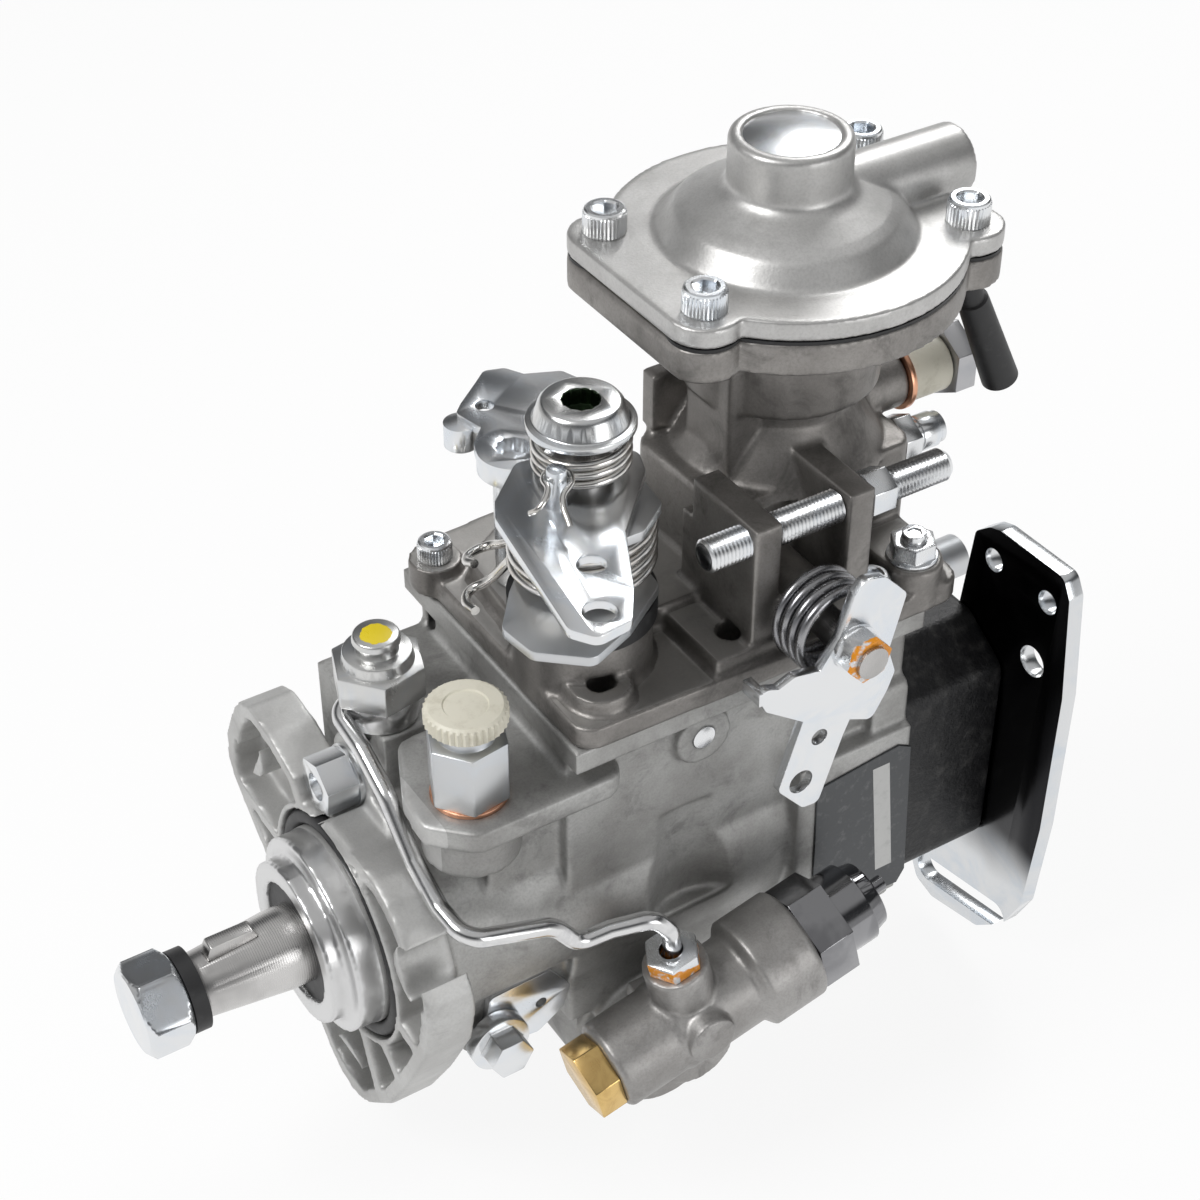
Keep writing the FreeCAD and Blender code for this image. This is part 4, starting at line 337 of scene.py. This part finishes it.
def machined_copy(node, width, body, slot="steel"):
    """A copy of a CAD node with its edges broken by a small chamfer, in place of the node."""
    piece = merged_copy(node, node + "_finished", flatten=True)
    bevel = piece.modifiers.new("broken_edges", "BEVEL")
    bevel.width = width / 1000
    bevel.segments = 2
    bevel.limit_method = "ANGLE"
    bevel.angle_limit = math.radians(BROKEN_EDGE)
    return sharpen(settle(piece, body, slot, node), MACHINED_SHARP)


def sharpen(piece, degrees):
    """Marks a piece's real edges as sharp, so that its flats look flat and its rounds look round."""
    shape = bmesh.new()
    shape.from_mesh(piece.data)
    for edge in shape.edges:
        edge.smooth = len(edge.link_faces) == 2 and edge.calc_face_angle(0) < math.radians(degrees)
    shape.to_mesh(piece.data)
    shape.free()
    return piece


BLUISH, SCRATCHES = (0.62, 0.7, 0.8), 0.3


def bright_metal(name, tone, roughness, tint=BLUISH, tinting=0.35, scale=60):
    """Plated or machined metal: clouds of a second tint, fine scratches and slightly uneven gloss."""
    finish = Finish(name, metallic=1.0)
    clouds = finish.noise(scale, 3, 0.6, distortion=1.2)
    stretched = finish.node("ShaderNodeMapping", {}, vector=finish.place(), scale=(900.0, 160.0, 160.0))
    lines = finish.noise(4, 4, 0.7, at=stretched)
    finish.colour(finish.blend(clouds.fade(0.42, 0.68) * tinting, tone, tint))
    finish.set("Roughness", clouds * 0.12 + lines * (0.2 * SCRATCHES) + (roughness - 0.08))
    finish.bump(lines * SCRATCHES + finish.noise(700, 2) * 0.4, 0.012)
    finish.clouds = clouds
    return finish


def turned_steel(name, tone, roughness=0.28):
    """Steel with the fine rings of a lathe round the shaft's axis."""
    finish = Finish(name, metallic=1.0)
    rings = finish.node("ShaderNodeTexWave", {"wave_type": "BANDS", "bands_direction": "X"},
                        vector=finish.place(), scale=550.0, distortion=1.5, detail=2.0)
    clouds = finish.noise(70, 3)
    finish.colour(finish.blend(clouds.fade(0.35, 0.75), tone, [0.72 * part for part in tone]))
    finish.set("Roughness", rings * 0.08 + clouds * 0.1 + (roughness - 0.06))
    finish.bump(rings * 0.5 + finish.noise(900, 2) * 0.3, 0.01)
    return finish


shaft_finish = turned_steel("ground_steel", (0.62, 0.61, 0.6))
for node in ("drive_shaft", "shaft_key"):
    paint(machined_copy(node, 0.35, "shaft"), shaft_finish)


# The shaft's nut, cut from hexagon bar and zinc plated. Like the caps, the screws and the vent tube it is
# a stack of rings whose radius may change round the axis, so one function makes them all.
ROUND_STEPS = 144


def hexagon(flats):
    """The radius of a hexagon at an angle, for a ring."""
    return lambda angle: flats / 2 / math.cos(angle % (math.pi / 3) - math.pi / 6)


def chamfered(flats, widest):
    """A hexagon cut back by a cone."""
    bar = hexagon(flats)
    return lambda angle: min(bar(angle), widest)


def knurled(radius, depth, teeth, power=1.0):
    """A round with teeth."""
    return lambda angle: radius - depth * (0.5 - 0.5 * math.cos(teeth * angle)) ** power


def closed_tube(name, loops):
    """A mesh of loops of points, one after another, with a face over each end."""
    shape = bmesh.new()
    rows = [[shape.verts.new(point) for point in loop] for loop in loops]
    for low, high in zip(rows, rows[1:]):
        for step in range(len(low)):
            following = (step + 1) % len(low)
            shape.faces.new((low[step], low[following], high[following], high[step]))
    shape.faces.new(reversed(rows[0]))
    shape.faces.new(rows[-1])
    bmesh.ops.recalc_face_normals(shape, faces=shape.faces)
    mesh = bpy.data.meshes.new(name)
    shape.to_mesh(mesh)
    shape.free()
    return mesh


def lathe(name, rings, at=(0, 0, 0), along=(0, 0, 1), spin=0):
    """A piece made of a stack of (height, radius) rings, stood at a place along an axis."""
    loops = []
    for height, radius in rings:
        loop = []
        for step in range(ROUND_STEPS):
            angle = 2 * math.pi * step / ROUND_STEPS
            distance = radius(angle) if callable(radius) else radius
            loop.append((distance * math.cos(angle), distance * math.sin(angle), height))
        loops.append(loop)
    mesh = closed_tube(name, loops)
    stand(mesh, at, along, spin)
    return scene_piece(name, mesh)


def stand(mesh, at, along=(0, 0, 1), spin=0):
    """Puts a mesh made in millimetres round its own z at a place in the pump."""
    turn = Vector((0, 0, 1)).rotation_difference(Vector(along)).to_matrix().to_4x4()
    spun = Matrix.Rotation(math.radians(spin), 4, "Z")
    mesh.transform(Matrix.Translation(Vector(at) / 1000) @ turn @ spun @ Matrix.Scale(0.001, 4))


def nut_rings(flats, height, hole, chamfer):
    """A hexagon nut: outer rings from its foot to its top, then the hole."""
    rim = flats / 2 - chamfer * 0.2
    corner = flats / math.sqrt(3)
    rings = [(0.0, hole), (0.0, rim)]
    for share in (0.25, 0.5, 0.75, 1):
        rings.append((chamfer * share, chamfered(flats, rim + (corner - rim) * share)))
    for share in (1, 0.75, 0.5, 0.25):
        rings.append((height - chamfer * share, chamfered(flats, rim + (corner - rim) * share)))
    return rings + [(height, rim), (height, hole), (height * 0.5, hole), (0.01, hole)]


def finish_lathe(piece, finish, body, slot, *nodes):
    """Ties a turned piece to its body, with sharp edges and its material."""
    return paint(sharpen(settle(piece, body, slot, *nodes), TURNED_SHARP), finish)


zinc = bright_metal("bright_zinc", (0.78, 0.79, 0.8), 0.24)
nut = lathe("shaft_nut_hex", nut_rings(21, 11.5, 7.02, 1.7), at=(-52.8, 0, 0), along=(1, 0, 0), spin=18)
finish_lathe(nut, zinc, "shaft", "zinc", "shaft_nut")

# The rubber: the O-ring round the pilot, the shaft's lip seal, the vent tube, the diaphragm and the dust ring
# under the throttle, all slightly dusty. The black spring washer has their finish.
rubber = Finish("dusty_rubber", roughness=0.6)
dust = rubber.noise(240, 5, 0.7)
rubber.colour(rubber.blend(dust.fade(0.5, 0.8) * 0.5, (0.012, 0.012, 0.013), (0.07, 0.07, 0.07)))
rubber.set("Roughness", dust * 0.3 + 0.35)
rubber.bump(dust, 0.03)
for node in ("pilot_o_ring", "shaft_seal", "throttle_dust_ring", "shaft_spring_washer", "boost_diaphragm"):
    paint(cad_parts[node], rubber)
tube_rings = [(0.05, 2.2), (0.05, 3), (6, 3.1), (6.4, 3.7), (8, 3.8), (34, 4.5), (34, 2.6), (30, 2.5)]
tube = lathe("breather_tube", tube_rings, at=(161, -20, 138.05), along=(16, 0, -35))
finish_lathe(tube, rubber, "housing", "rubber", "vent_tube")

# Inside the pump: the vane pump, the governor, the cam drive and the timing piston, of hardened and ground
# steel. Most of them only show when the covers are off, so they keep the solids' own meshes.
inner_steel = turned_steel("inner_steel", (0.5, 0.49, 0.48))
for node in ("vane_rotor", "pump_vanes", "vane_pump_ring", "drive_gear", "flyweight_cage", "flyweights",
             "governor_shaft", "governor_sleeve", "governor_levers", "roller_ring", "cam_rollers", "cam_plate",
             "plunger", "plunger_springs", "control_sleeve", "timing_piston", "boost_pin", "boost_spring",
             "throttle_shaft", "stop_shaft"):
    paint(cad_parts[node], inner_steel)

# The hydraulic head: a black rough iron casting with a machined back, and the bright zinc-plated plate
# bolted to it. The black head's reflection is painted near-black into the plate's upper part: a painted
# reflection.
head_finish = Finish("black_head", metallic=0.3)
lumps = head_finish.noise(210, 4, 0.65)
fine = head_finish.noise(900, 3, 0.7)
head_finish.colour(head_finish.blend(lumps.fade(0.45, 0.75), (0.008, 0.008, 0.009), (0.045, 0.044, 0.043)))
head_finish.set("Roughness", lumps * 0.25 + 0.3)
head_finish.bump(lumps * 0.8 + fine * 0.4, 0.35)
paint(cast_copy("distributor_head", 0.8, 5, slot="black_iron"), head_finish)

bracket_finish = bright_metal("bracket_plate", (0.7, 0.71, 0.72), 0.3)
along, across, up = bracket_finish.split(bracket_finish.place())
facing = bracket_finish.split(bracket_finish.direction())[0]
# Painted reflection: the black head's mirror image, painted near-black on the plate's upper flat faces.
PAINTED_REFLECTION_LOW, PAINTED_REFLECTION_FULL = -0.052, -0.03
painted_reflection = (up - bracket_finish.noise(35, 2) * 0.02).fade(PAINTED_REFLECTION_LOW, PAINTED_REFLECTION_FULL) * abs(facing).fade(0.9, 0.98)
plate_tone = bracket_finish.blend(bracket_finish.clouds.fade(0.4, 0.7) * 0.5, (0.7, 0.71, 0.72),
                                  (0.55, 0.62, 0.7))
bracket_finish.colour(bracket_finish.blend(painted_reflection, plate_tone, (0.018, 0.018, 0.02)))
bracket_finish.set("Roughness", bracket_finish.clouds * 0.14 + 0.16)
paint(machined_copy("support_bracket", 0.5, "housing", "black_paint"), bracket_finish)

# The governor cover: a darker, rougher casting with the throttle's hub, the lugs and the boost unit's bowl.
# The rims of its flange and bosses are milled, and gleam.
MILLED_RIMS = ((0.0735, 0.0006), (0.075, 0.0006), (0.077, 0.0003), (0.0713, 0.0006))
cover_finish = cast_aluminium("cast_governor_cover", (0.33, 0.315, 0.3), (0.19, 0.18, 0.17), 0.07, 0.44, 0.6)
along, across, up = cover_finish.split(cover_finish.place())
facing = cover_finish.split(cover_finish.direction())[2]
on_rim = sum(abs(up - height) < margin for height, margin in MILLED_RIMS)
milled = facing.fade(0.93, 0.98) * on_rim.clamp()
cover_finish.colour(cover_finish.blend(milled * 0.45, cover_finish.tone, (0.6, 0.59, 0.57)))
paint(cast_copy("governor_cover", 0.75, 3, slot="cast_dark"), cover_finish)

# The boost unit's cover: light die-cast aluminium with a pressed bright plug in its boss. It is held by four
# screws on the governor cover's bowl, over the diaphragm.
boost_finish = cast_aluminium("boost_casting", (0.6, 0.595, 0.585), (0.47, 0.465, 0.455), 0.045, 0.4, 0.22)
paint(cast_copy("boost_cover", 0.7, 4), boost_finish)

# The timing cover on the far side: a plain round lid of cast aluminium with broken edges, which closes the
# bore of the timing piston.
timing_finish = cast_aluminium("timing_casting", (0.55, 0.55, 0.54), (0.42, 0.41, 0.4), 0.05, 0.5, 0.4)
paint(machined_copy("timing_cover", 0.8, "housing", "cast_light"), timing_finish)

# Socket head screws in bright zinc: four in the cover, four in the boost unit, four deep in the head and two
# that hold the bracket. One screw of each size is turned, with a knurled side, and stood on every place.
FULL_TURN, SPIN_SEED = 6.28, 5


def copies_on_points():
    """A node group that stands a copy of a piece on every point of a mesh, each with its own spin."""
    group = bpy.data.node_groups.new("copies_on_points", "GeometryNodeTree")
    made = {}
    for name, kind, way in (("Points", "Geometry", "INPUT"), ("Piece", "Object", "INPUT"),
                            ("Turn", "Vector", "INPUT"), ("Finish", "Material", "INPUT"),
                            ("Copies", "Geometry", "OUTPUT")):
        made[name] = group.interface.new_socket(name, in_out=way, socket_type="NodeSocket" + kind)
    node = {kind: group.nodes.new(kind) for kind in (
        "NodeGroupInput", "NodeGroupOutput", "GeometryNodeObjectInfo", "GeometryNodeInstanceOnPoints",
        "GeometryNodeRotateInstances", "FunctionNodeRandomValue", "ShaderNodeCombineXYZ",
        "GeometryNodeRealizeInstances", "GeometryNodeSetMaterial")}
    node["GeometryNodeObjectInfo"].inputs["As Instance"].default_value = True
    spin = node["FunctionNodeRandomValue"]
    for socket, number in ((2, 0.0), (3, FULL_TURN), ("Seed", SPIN_SEED)):
        spin.inputs[socket].default_value = number
    for start, out, end, into in (
            ("NodeGroupInput", "Points", "GeometryNodeInstanceOnPoints", "Points"),
            ("NodeGroupInput", "Piece", "GeometryNodeObjectInfo", "Object"),
            ("GeometryNodeObjectInfo", "Geometry", "GeometryNodeInstanceOnPoints", "Instance"),
            ("NodeGroupInput", "Turn", "GeometryNodeInstanceOnPoints", "Rotation"),
            ("GeometryNodeInstanceOnPoints", "Instances", "GeometryNodeRotateInstances", "Instances"),
            ("FunctionNodeRandomValue", 1, "ShaderNodeCombineXYZ", "Z"),
            ("ShaderNodeCombineXYZ", 0, "GeometryNodeRotateInstances", "Rotation"),
            ("GeometryNodeRotateInstances", 0, "GeometryNodeRealizeInstances", 0),
            ("GeometryNodeRealizeInstances", 0, "GeometryNodeSetMaterial", 0),
            ("NodeGroupInput", "Finish", "GeometryNodeSetMaterial", "Material"),
            ("GeometryNodeSetMaterial", 0, "NodeGroupOutput", "Copies")):
        group.links.new(node[start].outputs[out], node[end].inputs[into])
    return group, made


copies_group, copies_inputs = copies_on_points()


def row_of(name, template, places, turn, finish, node):
    """Stands a template on each place. The template goes, and the copies are one piece."""
    mesh = bpy.data.meshes.new(name)
    mesh.from_pydata([[part / 1000 for part in place] for place in places], [], [])
    piece = scene_piece(name, mesh)
    stood = piece.modifiers.new("copies", "NODES")
    stood.node_group = copies_group
    stood[copies_inputs["Piece"].identifier] = template
    stood[copies_inputs["Turn"].identifier] = turn
    stood[copies_inputs["Finish"].identifier] = finish.material
    sharpen(settle(piece, "housing", "zinc", node), TURNED_SHARP)
    bpy.data.objects.remove(template)


def socket_screw(size, height):
    """A socket head screw's head with its knurled side, its hexagon socket and a little of its shank."""
    teeth = knurled(size / 2, 0.35, 36, 0.8)
    key = size * 0.26
    socket = hexagon(2 * key)
    return lathe("socket_screw", [
        (-2, size * 0.25), (0, size * 0.25), (0, size / 2 - 0.4), (0.3, teeth), (height - 1, teeth),
        (height - 0.8, size / 2 - 0.3), (height - 0.25, size / 2 - 0.35), (height, size / 2 - 0.8),
        (height, key * 1.25), (height - 0.35, chamfered(2 * key, key * 1.16)), (height - 0.5, socket),
        (height * 0.45, socket), (height * 0.42, 0.1)])


BOOST_X, BOOST_Y, BOOST_REACH_X, BOOST_REACH_Y = 125.2, 1, 35.6, 19.7
UPRIGHT, REARWARD = (0, 0, 0), (0, math.pi / 2, 0)
quarters = [(across, up) for across in (-1, 1) for up in (-1, 1)]
cover_places = [(47.3, 29.2, 73.5), (96, 34, 71.3), (142.5, 31, 71.3), (129, -34.5, 71.3)]
boost_places = [(BOOST_X + across * BOOST_REACH_X, BOOST_Y + up * BOOST_REACH_Y, 152.8)
                for across, up in quarters]
head_places = [(166, across * 29, up * 24) for across, up in quarters]
bracket_places = [(178.55, -27, side * 9) for side in (-1, 1)]
dull_zinc = bright_metal("dull_zinc", (0.6, 0.61, 0.62), 0.36, tinting=0.2)
row_of("cover_screws", socket_screw(8.5, 5), cover_places, UPRIGHT, zinc, "cap_screws")
row_of("boost_screws", socket_screw(10, 6), boost_places, UPRIGHT, zinc, "cap_screws")
row_of("head_screws", socket_screw(10, 6), head_places, REARWARD, dull_zinc, "cap_screws")
row_of("bracket_heads", socket_screw(13, 6), bracket_places, REARWARD, zinc, "bracket_screws")


# Coil springs of bright wire: two round the throttle shaft and a dark one on the stop shaft. Each is a round
# wire wound along a helix, with its two ends ground a little thinner.
COIL_PER_TURN, COIL_AROUND, GROUND_END = 72, 14, 0.86


def smooth_coil(name, radius, wire, pitch, turns, at, along=(0, 0, 1)):
    """A spring of round wire along a helix, as fine as the eye needs."""
    steps = int(COIL_PER_TURN * turns)
    loops = []
    for step in range(steps + 1):
        angle = 2 * math.pi * step / COIL_PER_TURN
        outward = Vector((math.cos(angle), math.sin(angle), 0))
        centre = outward * radius + Vector((0, 0, pitch * step / COIL_PER_TURN))
        thickness = wire / 2 * (GROUND_END if step in (0, steps) else 1)
        bends = [2 * math.pi * corner / COIL_AROUND for corner in range(COIL_AROUND)]
        loops.append([centre + outward * (math.cos(bend) * thickness)
                      + Vector((0, 0, math.sin(bend) * thickness)) for bend in bends])
    mesh = closed_tube(name, loops)
    stand(mesh, at, along)
    return scene_piece(name, mesh)


THROTTLE, STOP_SPRING = (59.8, -17.1), (104.7, -42.6, 82)
spring_wire = bright_metal("spring_wire", (0.72, 0.71, 0.69), 0.2, (0.45, 0.4, 0.34), 0.4, scale=140)
dark_wire = bright_metal("dark_spring_wire", (0.34, 0.34, 0.35), 0.26, (0.2, 0.2, 0.22), 0.5, scale=120)
upper_coil = smooth_coil("throttle_upper_spring", 10, 2.1, 2.4, 3.4, THROTTLE + (123.35,))
lower_coil = smooth_coil("throttle_lower_spring", 15.6, 2.4, 3.2, 4.5, THROTTLE + (97,))
stop_coil = smooth_coil("stop_lever_spring", 10.4, 2.6, 2.9, 4.1, STOP_SPRING, (0, -1, 0))
for coil, finish, body, node in ((upper_coil, spring_wire, "throttle", "throttle_springs"),
                                 (lower_coil, spring_wire, "throttle", "throttle_springs"),
                                 (stop_coil, dark_wire, "housing", "stop_spring")):
    paint(settle(coil, body, "steel", node), finish)

# The levers: punched from sheet, bright zinc with a bluish smear, the edges broken. The throttle's has its
# link pin and two holes, and a cap over its hub with a star socket, greenish and dark inside.
SOCKET_RADIUS, SOCKET_FLOOR = 0.0043, 0.1355
cap_zinc = bright_metal("cap_zinc", (0.7, 0.7, 0.69), 0.24)
along, across, up = cap_zinc.split(cap_zinc.place())
from_axis = ((along - THROTTLE[0] / 1000) ** 2.0 + (across - THROTTLE[1] / 1000) ** 2.0) ** 0.5
in_socket = (from_axis < SOCKET_RADIUS) * (up > SOCKET_FLOOR)
smear = cap_zinc.blend(cap_zinc.clouds.fade(0.45, 0.7) * 0.35, (0.7, 0.7, 0.69), BLUISH)
cap_zinc.colour(cap_zinc.blend(in_socket, smear, (0.05, 0.075, 0.045)))
for node, body, finish in (("throttle_lever", "throttle", zinc), ("throttle_cap", "throttle", cap_zinc),
                           ("throttle_stop_plates", "throttle", dull_zinc), ("idle_lever", "idle", zinc),
                           ("stop_lever", "stop", zinc)):
    paint(machined_copy(node, 0.35, body, "zinc"), finish)

# Bent wires of spring steel: the clip on the throttle's link pin, and the two hooked ends of the spring under
# the lever, which are bent down beside the hub.
def bent_wire(name, points, radius):
    """A round wire that runs smoothly through its points, in millimetres."""
    curve = bpy.data.curves.new(name, "CURVE")
    curve.dimensions = "3D"
    curve.bevel_depth = radius / 1000
    curve.bevel_resolution = 4
    curve.resolution_u = 10
    curve.use_fill_caps = True
    spline = curve.splines.new("BEZIER")
    spline.bezier_points.add(len(points) - 1)
    for knot, point in zip(spline.bezier_points, points):
        knot.co = [part / 1000 for part in point]
        knot.handle_left_type = knot.handle_right_type = "AUTO"
    piece = scene_piece(name, curve)
    bpy.context.view_layer.update()
    mesh = bpy.data.meshes.new_from_object(piece.evaluated_get(bpy.context.evaluated_depsgraph_get()))
    bpy.data.objects.remove(piece)
    return scene_piece(name, mesh)


CLIP = [(44.4, -37.5, 125.5), (46, -32, 128.5), (50.6, -28.2, 129.4), (51.1, -25, 129.5), (48.6, -23.2, 129.5),
        (45.7, -24.8, 129.5), (44.6, -28.5, 129.2), (41.2, -30.5, 127), (40.2, -28.6, 125)]
FAR_HOOK = [(55, -2.2, 97.5), (52, 3.5, 92), (50.4, 8.6, 88.6), (46.9, 9.2, 88), (43.7, 7, 88.3),
            (43.9, 3.4, 89.5)]
NEAR_HOOK = [(46.6, -8.6, 97.5), (43.4, -2.6, 88.5), (40, -1.1, 86.4), (37.6, -3.5, 86.2), (37.2, -8.5, 86.8)]
for name, body, radius, points in (("link_pin_clip", "throttle", 0.7, CLIP),
                                   ("spring_hook_far", "housing", 1.1, FAR_HOOK),
                                   ("spring_hook_near", "housing", 1.1, NEAR_HOOK)):
    paint(settle(bent_wire(name, points, radius), body, "steel"), spring_wire)

# The small turned and sheet parts of plated steel: valve, nuts, pipe, fittings, plugs, holders, lock and stud.
# The valve has a dab of yellow paint on top, and the nuts of the pipe and the stop lever have orange paint.
YELLOW_X, YELLOW_Y, YELLOW_RADIUS, VALVE_TOP = 0.0205, 0.0082, 0.0048, 0.0752
valve_zinc = bright_metal("valve_zinc", (0.66, 0.66, 0.65), 0.28)
along, across, up = valve_zinc.split(valve_zinc.place())
dab = ((along - YELLOW_X) ** 2.0 + (across - YELLOW_Y) ** 2.0) ** 0.5 + valve_zinc.noise(400, 2) * 0.002
yellow = (dab < YELLOW_RADIUS) * (up > VALVE_TOP)
valve_tone = valve_zinc.blend(valve_zinc.clouds.fade(0.45, 0.7) * 0.3, (0.66, 0.66, 0.65), (0.5, 0.56, 0.66))
valve_zinc.colour(valve_zinc.blend(yellow, valve_tone, (0.72, 0.56, 0.02)))
valve_zinc.set("Metallic", 1 - yellow)
ORANGE_SIDE, ORANGE_FROM, ORANGE_BELOW = -0.0615, -0.048, 0.0065
nut_zinc = bright_metal("nut_zinc_with_paint", (0.76, 0.77, 0.78), 0.26)
along, across, up = nut_zinc.split(nut_zinc.place())
orange_side = across + nut_zinc.noise(300, 2) * 0.004 < ORANGE_SIDE
orange_foot = (up + nut_zinc.noise(300, 2) * 0.003 < ORANGE_BELOW) * (across < ORANGE_FROM)
orange = (orange_side + orange_foot).clamp()
nut_tone = nut_zinc.blend(nut_zinc.clouds.fade(0.45, 0.7) * 0.3, (0.76, 0.77, 0.78), BLUISH)
nut_zinc.colour(nut_zinc.blend(orange * nut_zinc.noise(500, 3).fade(0.35, 0.5), nut_tone, (0.8, 0.3, 0.015)))
nut_zinc.set("Metallic", 1 - orange * 0.8)
pipe_steel = bright_metal("bright_pipe", (0.72, 0.72, 0.72), 0.2, (0.5, 0.5, 0.52), 0.4, scale=90)
fitting = bright_metal("fitting_steel", (0.46, 0.46, 0.47), 0.32, (0.34, 0.35, 0.38), 0.5)
for node, chamfer, body, finish in (
        ("pressure_valve", 0.4, "housing", valve_zinc), ("hex_nuts", 0.35, "housing", nut_zinc),
        ("stop_lever_nut", 0.35, "stop", nut_zinc), ("pressure_pipe", 0.25, "housing", pipe_steel),
        ("inlet_fitting", 0.4, "housing", dull_zinc), ("return_fitting", 0.4, "housing", fitting),
        ("screw_plugs", 0.35, "housing", zinc), ("delivery_valve_holders", 0.4, "housing", dull_zinc),
        ("lock_plate", 0.3, "housing", zinc), ("lock_bolt", 0.35, "housing", zinc),
        ("adjusting_screws", 0.25, "housing", zinc)):
    paint(machined_copy(node, chamfer, body, "zinc"), finish)

# The sealing washers under the plugs and fittings: soft copper, slightly tarnished, pressed flat between
# their seats.
copper = bright_metal("copper_washer", (0.74, 0.4, 0.26), 0.3, (0.5, 0.24, 0.15), 0.6, scale=150)
paint(machined_copy("copper_washers", 0.25, "housing", "copper"), copper)

# The threads of the adjusting stud, the set screw and the limit screw: fine grooves of 1 mm pitch, cut round
# the bright zinc-plated screws.
PITCH = 1.0


def threaded(name, radius, length, at, along):
    """A rod with the grooves of a thread."""
    rings = [(0.0, radius * 0.8)]
    for turn in range(int(length / PITCH)):
        rings += [((turn + 0.15) * PITCH, radius * 0.87), ((turn + 0.65) * PITCH, radius - 0.01)]
    rings.append((length, radius * 0.8))
    return lathe(name, rings, at=at, along=along)


for name, at, along, radius, length in (("stud_thread", (80, -35, 101.5), (1, 0, 0), 4.0, 66.9),
                                        ("set_screw_thread", (140.5, -34.5, 77), (0, 0, 1), 3, 6.6),
                                        ("limit_screw_thread", (157, -10, 90.5), (1, 0, 0), 4, 8.9)):
    finish_lathe(threaded(name, radius, length, at, along), zinc, "housing", "zinc")

# The transport caps of off-white plastic, grimy from the shelf: a knurled one on the inlet and a plain sleeve
# on the return, both pushed on.
off_white = Finish("off_white_plastic", roughness=0.45)
grime = off_white.noise(160, 5, 0.7)
off_white.colour(off_white.blend(grime.fade(0.45, 0.75) * 0.55, (0.72, 0.69, 0.58), (0.42, 0.38, 0.28)))
off_white.set("Roughness", grime * 0.25 + 0.32)
off_white.bump(grime, 0.03)
knurl = knurled(9.48, 0.65, 36)
inlet_rings = [(0, 6.6), (0, 8.6), (0.3, 8.9), (0.7, knurl), (3.9, knurl), (4.3, 8.9), (4.78, 8.3), (4.78, 5.2),
               (4.4, 4.9), (4.4, 0.2)]
return_rings = [(0, 5.1), (0, 7.1), (0.4, 7.45), (11.4, 7.45), (11.9, 7), (11.9, 5.1)]
inlet_cap = lathe("inlet_cap", inlet_rings, at=(23.4, -27.8, 75.21))
return_cap = lathe("return_cap", return_rings, at=(161.22, 1, 101), along=(1, 0, 0))
for cap in (inlet_cap, return_cap):
    finish_lathe(cap, off_white, "housing", "white_plastic", "transport_caps")

# The cold-start unit: a cast body on the near side with a brass plug at its low end and a dark mirror-bright
# solenoid with a small terminal at its high end.
unit_finish = cast_aluminium("cast_cold_start_unit", (0.44, 0.43, 0.42), (0.28, 0.27, 0.26), 0.06, 0.44, 0.5)
paint(cast_copy("cold_start_body", 0.6, 3, slot="cast_dark"), unit_finish)
brass = bright_metal("turned_brass", (0.72, 0.5, 0.2), 0.24, (0.5, 0.32, 0.12), 0.5, scale=130)
paint(machined_copy("cold_start_plug", 0.5, "housing", "brass"), brass)
dark_chrome = bright_metal("dark_chrome", (0.3, 0.3, 0.31), 0.12, (0.12, 0.12, 0.13), 0.5, scale=45)
paint(machined_copy("cold_start_solenoid", 0.5, "housing", "chrome"), dark_chrome)

# The identity plate: dark tin with a lighter strip, left blank, and pressed onto the pad on the near side.
# Its outline follows the pad's, and its edge is rounded.
STRIP_X, STRIP_Z, STRIP_LEAN, STRIP_HALF_WIDTH, STRIP_HALF_HEIGHT = 0.1347, -0.0008, 0.108, 0.0026, 0.0185
plate_finish = Finish("identity_plate", metallic=0.85)
along, across, up = plate_finish.split(plate_finish.place())
scuffs = plate_finish.noise(300, 5, 0.7)
beside_strip = abs(along - STRIP_X + up * STRIP_LEAN)
strip = (beside_strip < STRIP_HALF_WIDTH) * (abs(up - STRIP_Z) < STRIP_HALF_HEIGHT) * 0.85
plate_tone = plate_finish.blend(strip, (0.085, 0.088, 0.092), (0.55, 0.55, 0.54))
plate_finish.colour(plate_finish.blend(scuffs.fade(0.5, 0.75) * 0.35, plate_tone, (0.28, 0.28, 0.28)))
plate_finish.set("Roughness", scuffs * 0.3 + 0.25)
plate_finish.bump(scuffs, 0.015)
PLATE_CORNERS = [(113, 19.4), (138, 22.2), (142, 20), (144.3, -24), (142, -28), (116, -26.5), (114, -24)]
PAD_Y, PLATE_THICKNESS = -0.0395, 0.0005
shape = bmesh.new()
shape.faces.new([shape.verts.new((x / 1000, PAD_Y, z / 1000)) for x, z in PLATE_CORNERS])
risen = bmesh.ops.extrude_face_region(shape, geom=list(shape.faces))
raised = [part for part in risen["geom"] if isinstance(part, bmesh.types.BMVert)]
bmesh.ops.translate(shape, vec=(0, -PLATE_THICKNESS, 0), verts=raised)
bmesh.ops.recalc_face_normals(shape, faces=shape.faces)
plate_mesh = bpy.data.meshes.new("identity_plate")
shape.to_mesh(plate_mesh)
shape.free()
id_plate = scene_piece("identity_plate", plate_mesh)
soft_edge = id_plate.modifiers.new("rounded", "BEVEL")
soft_edge.width = 0.0002
paint(sharpen(settle(id_plate, "housing", "black_paint"), MACHINED_SHARP), plate_finish)
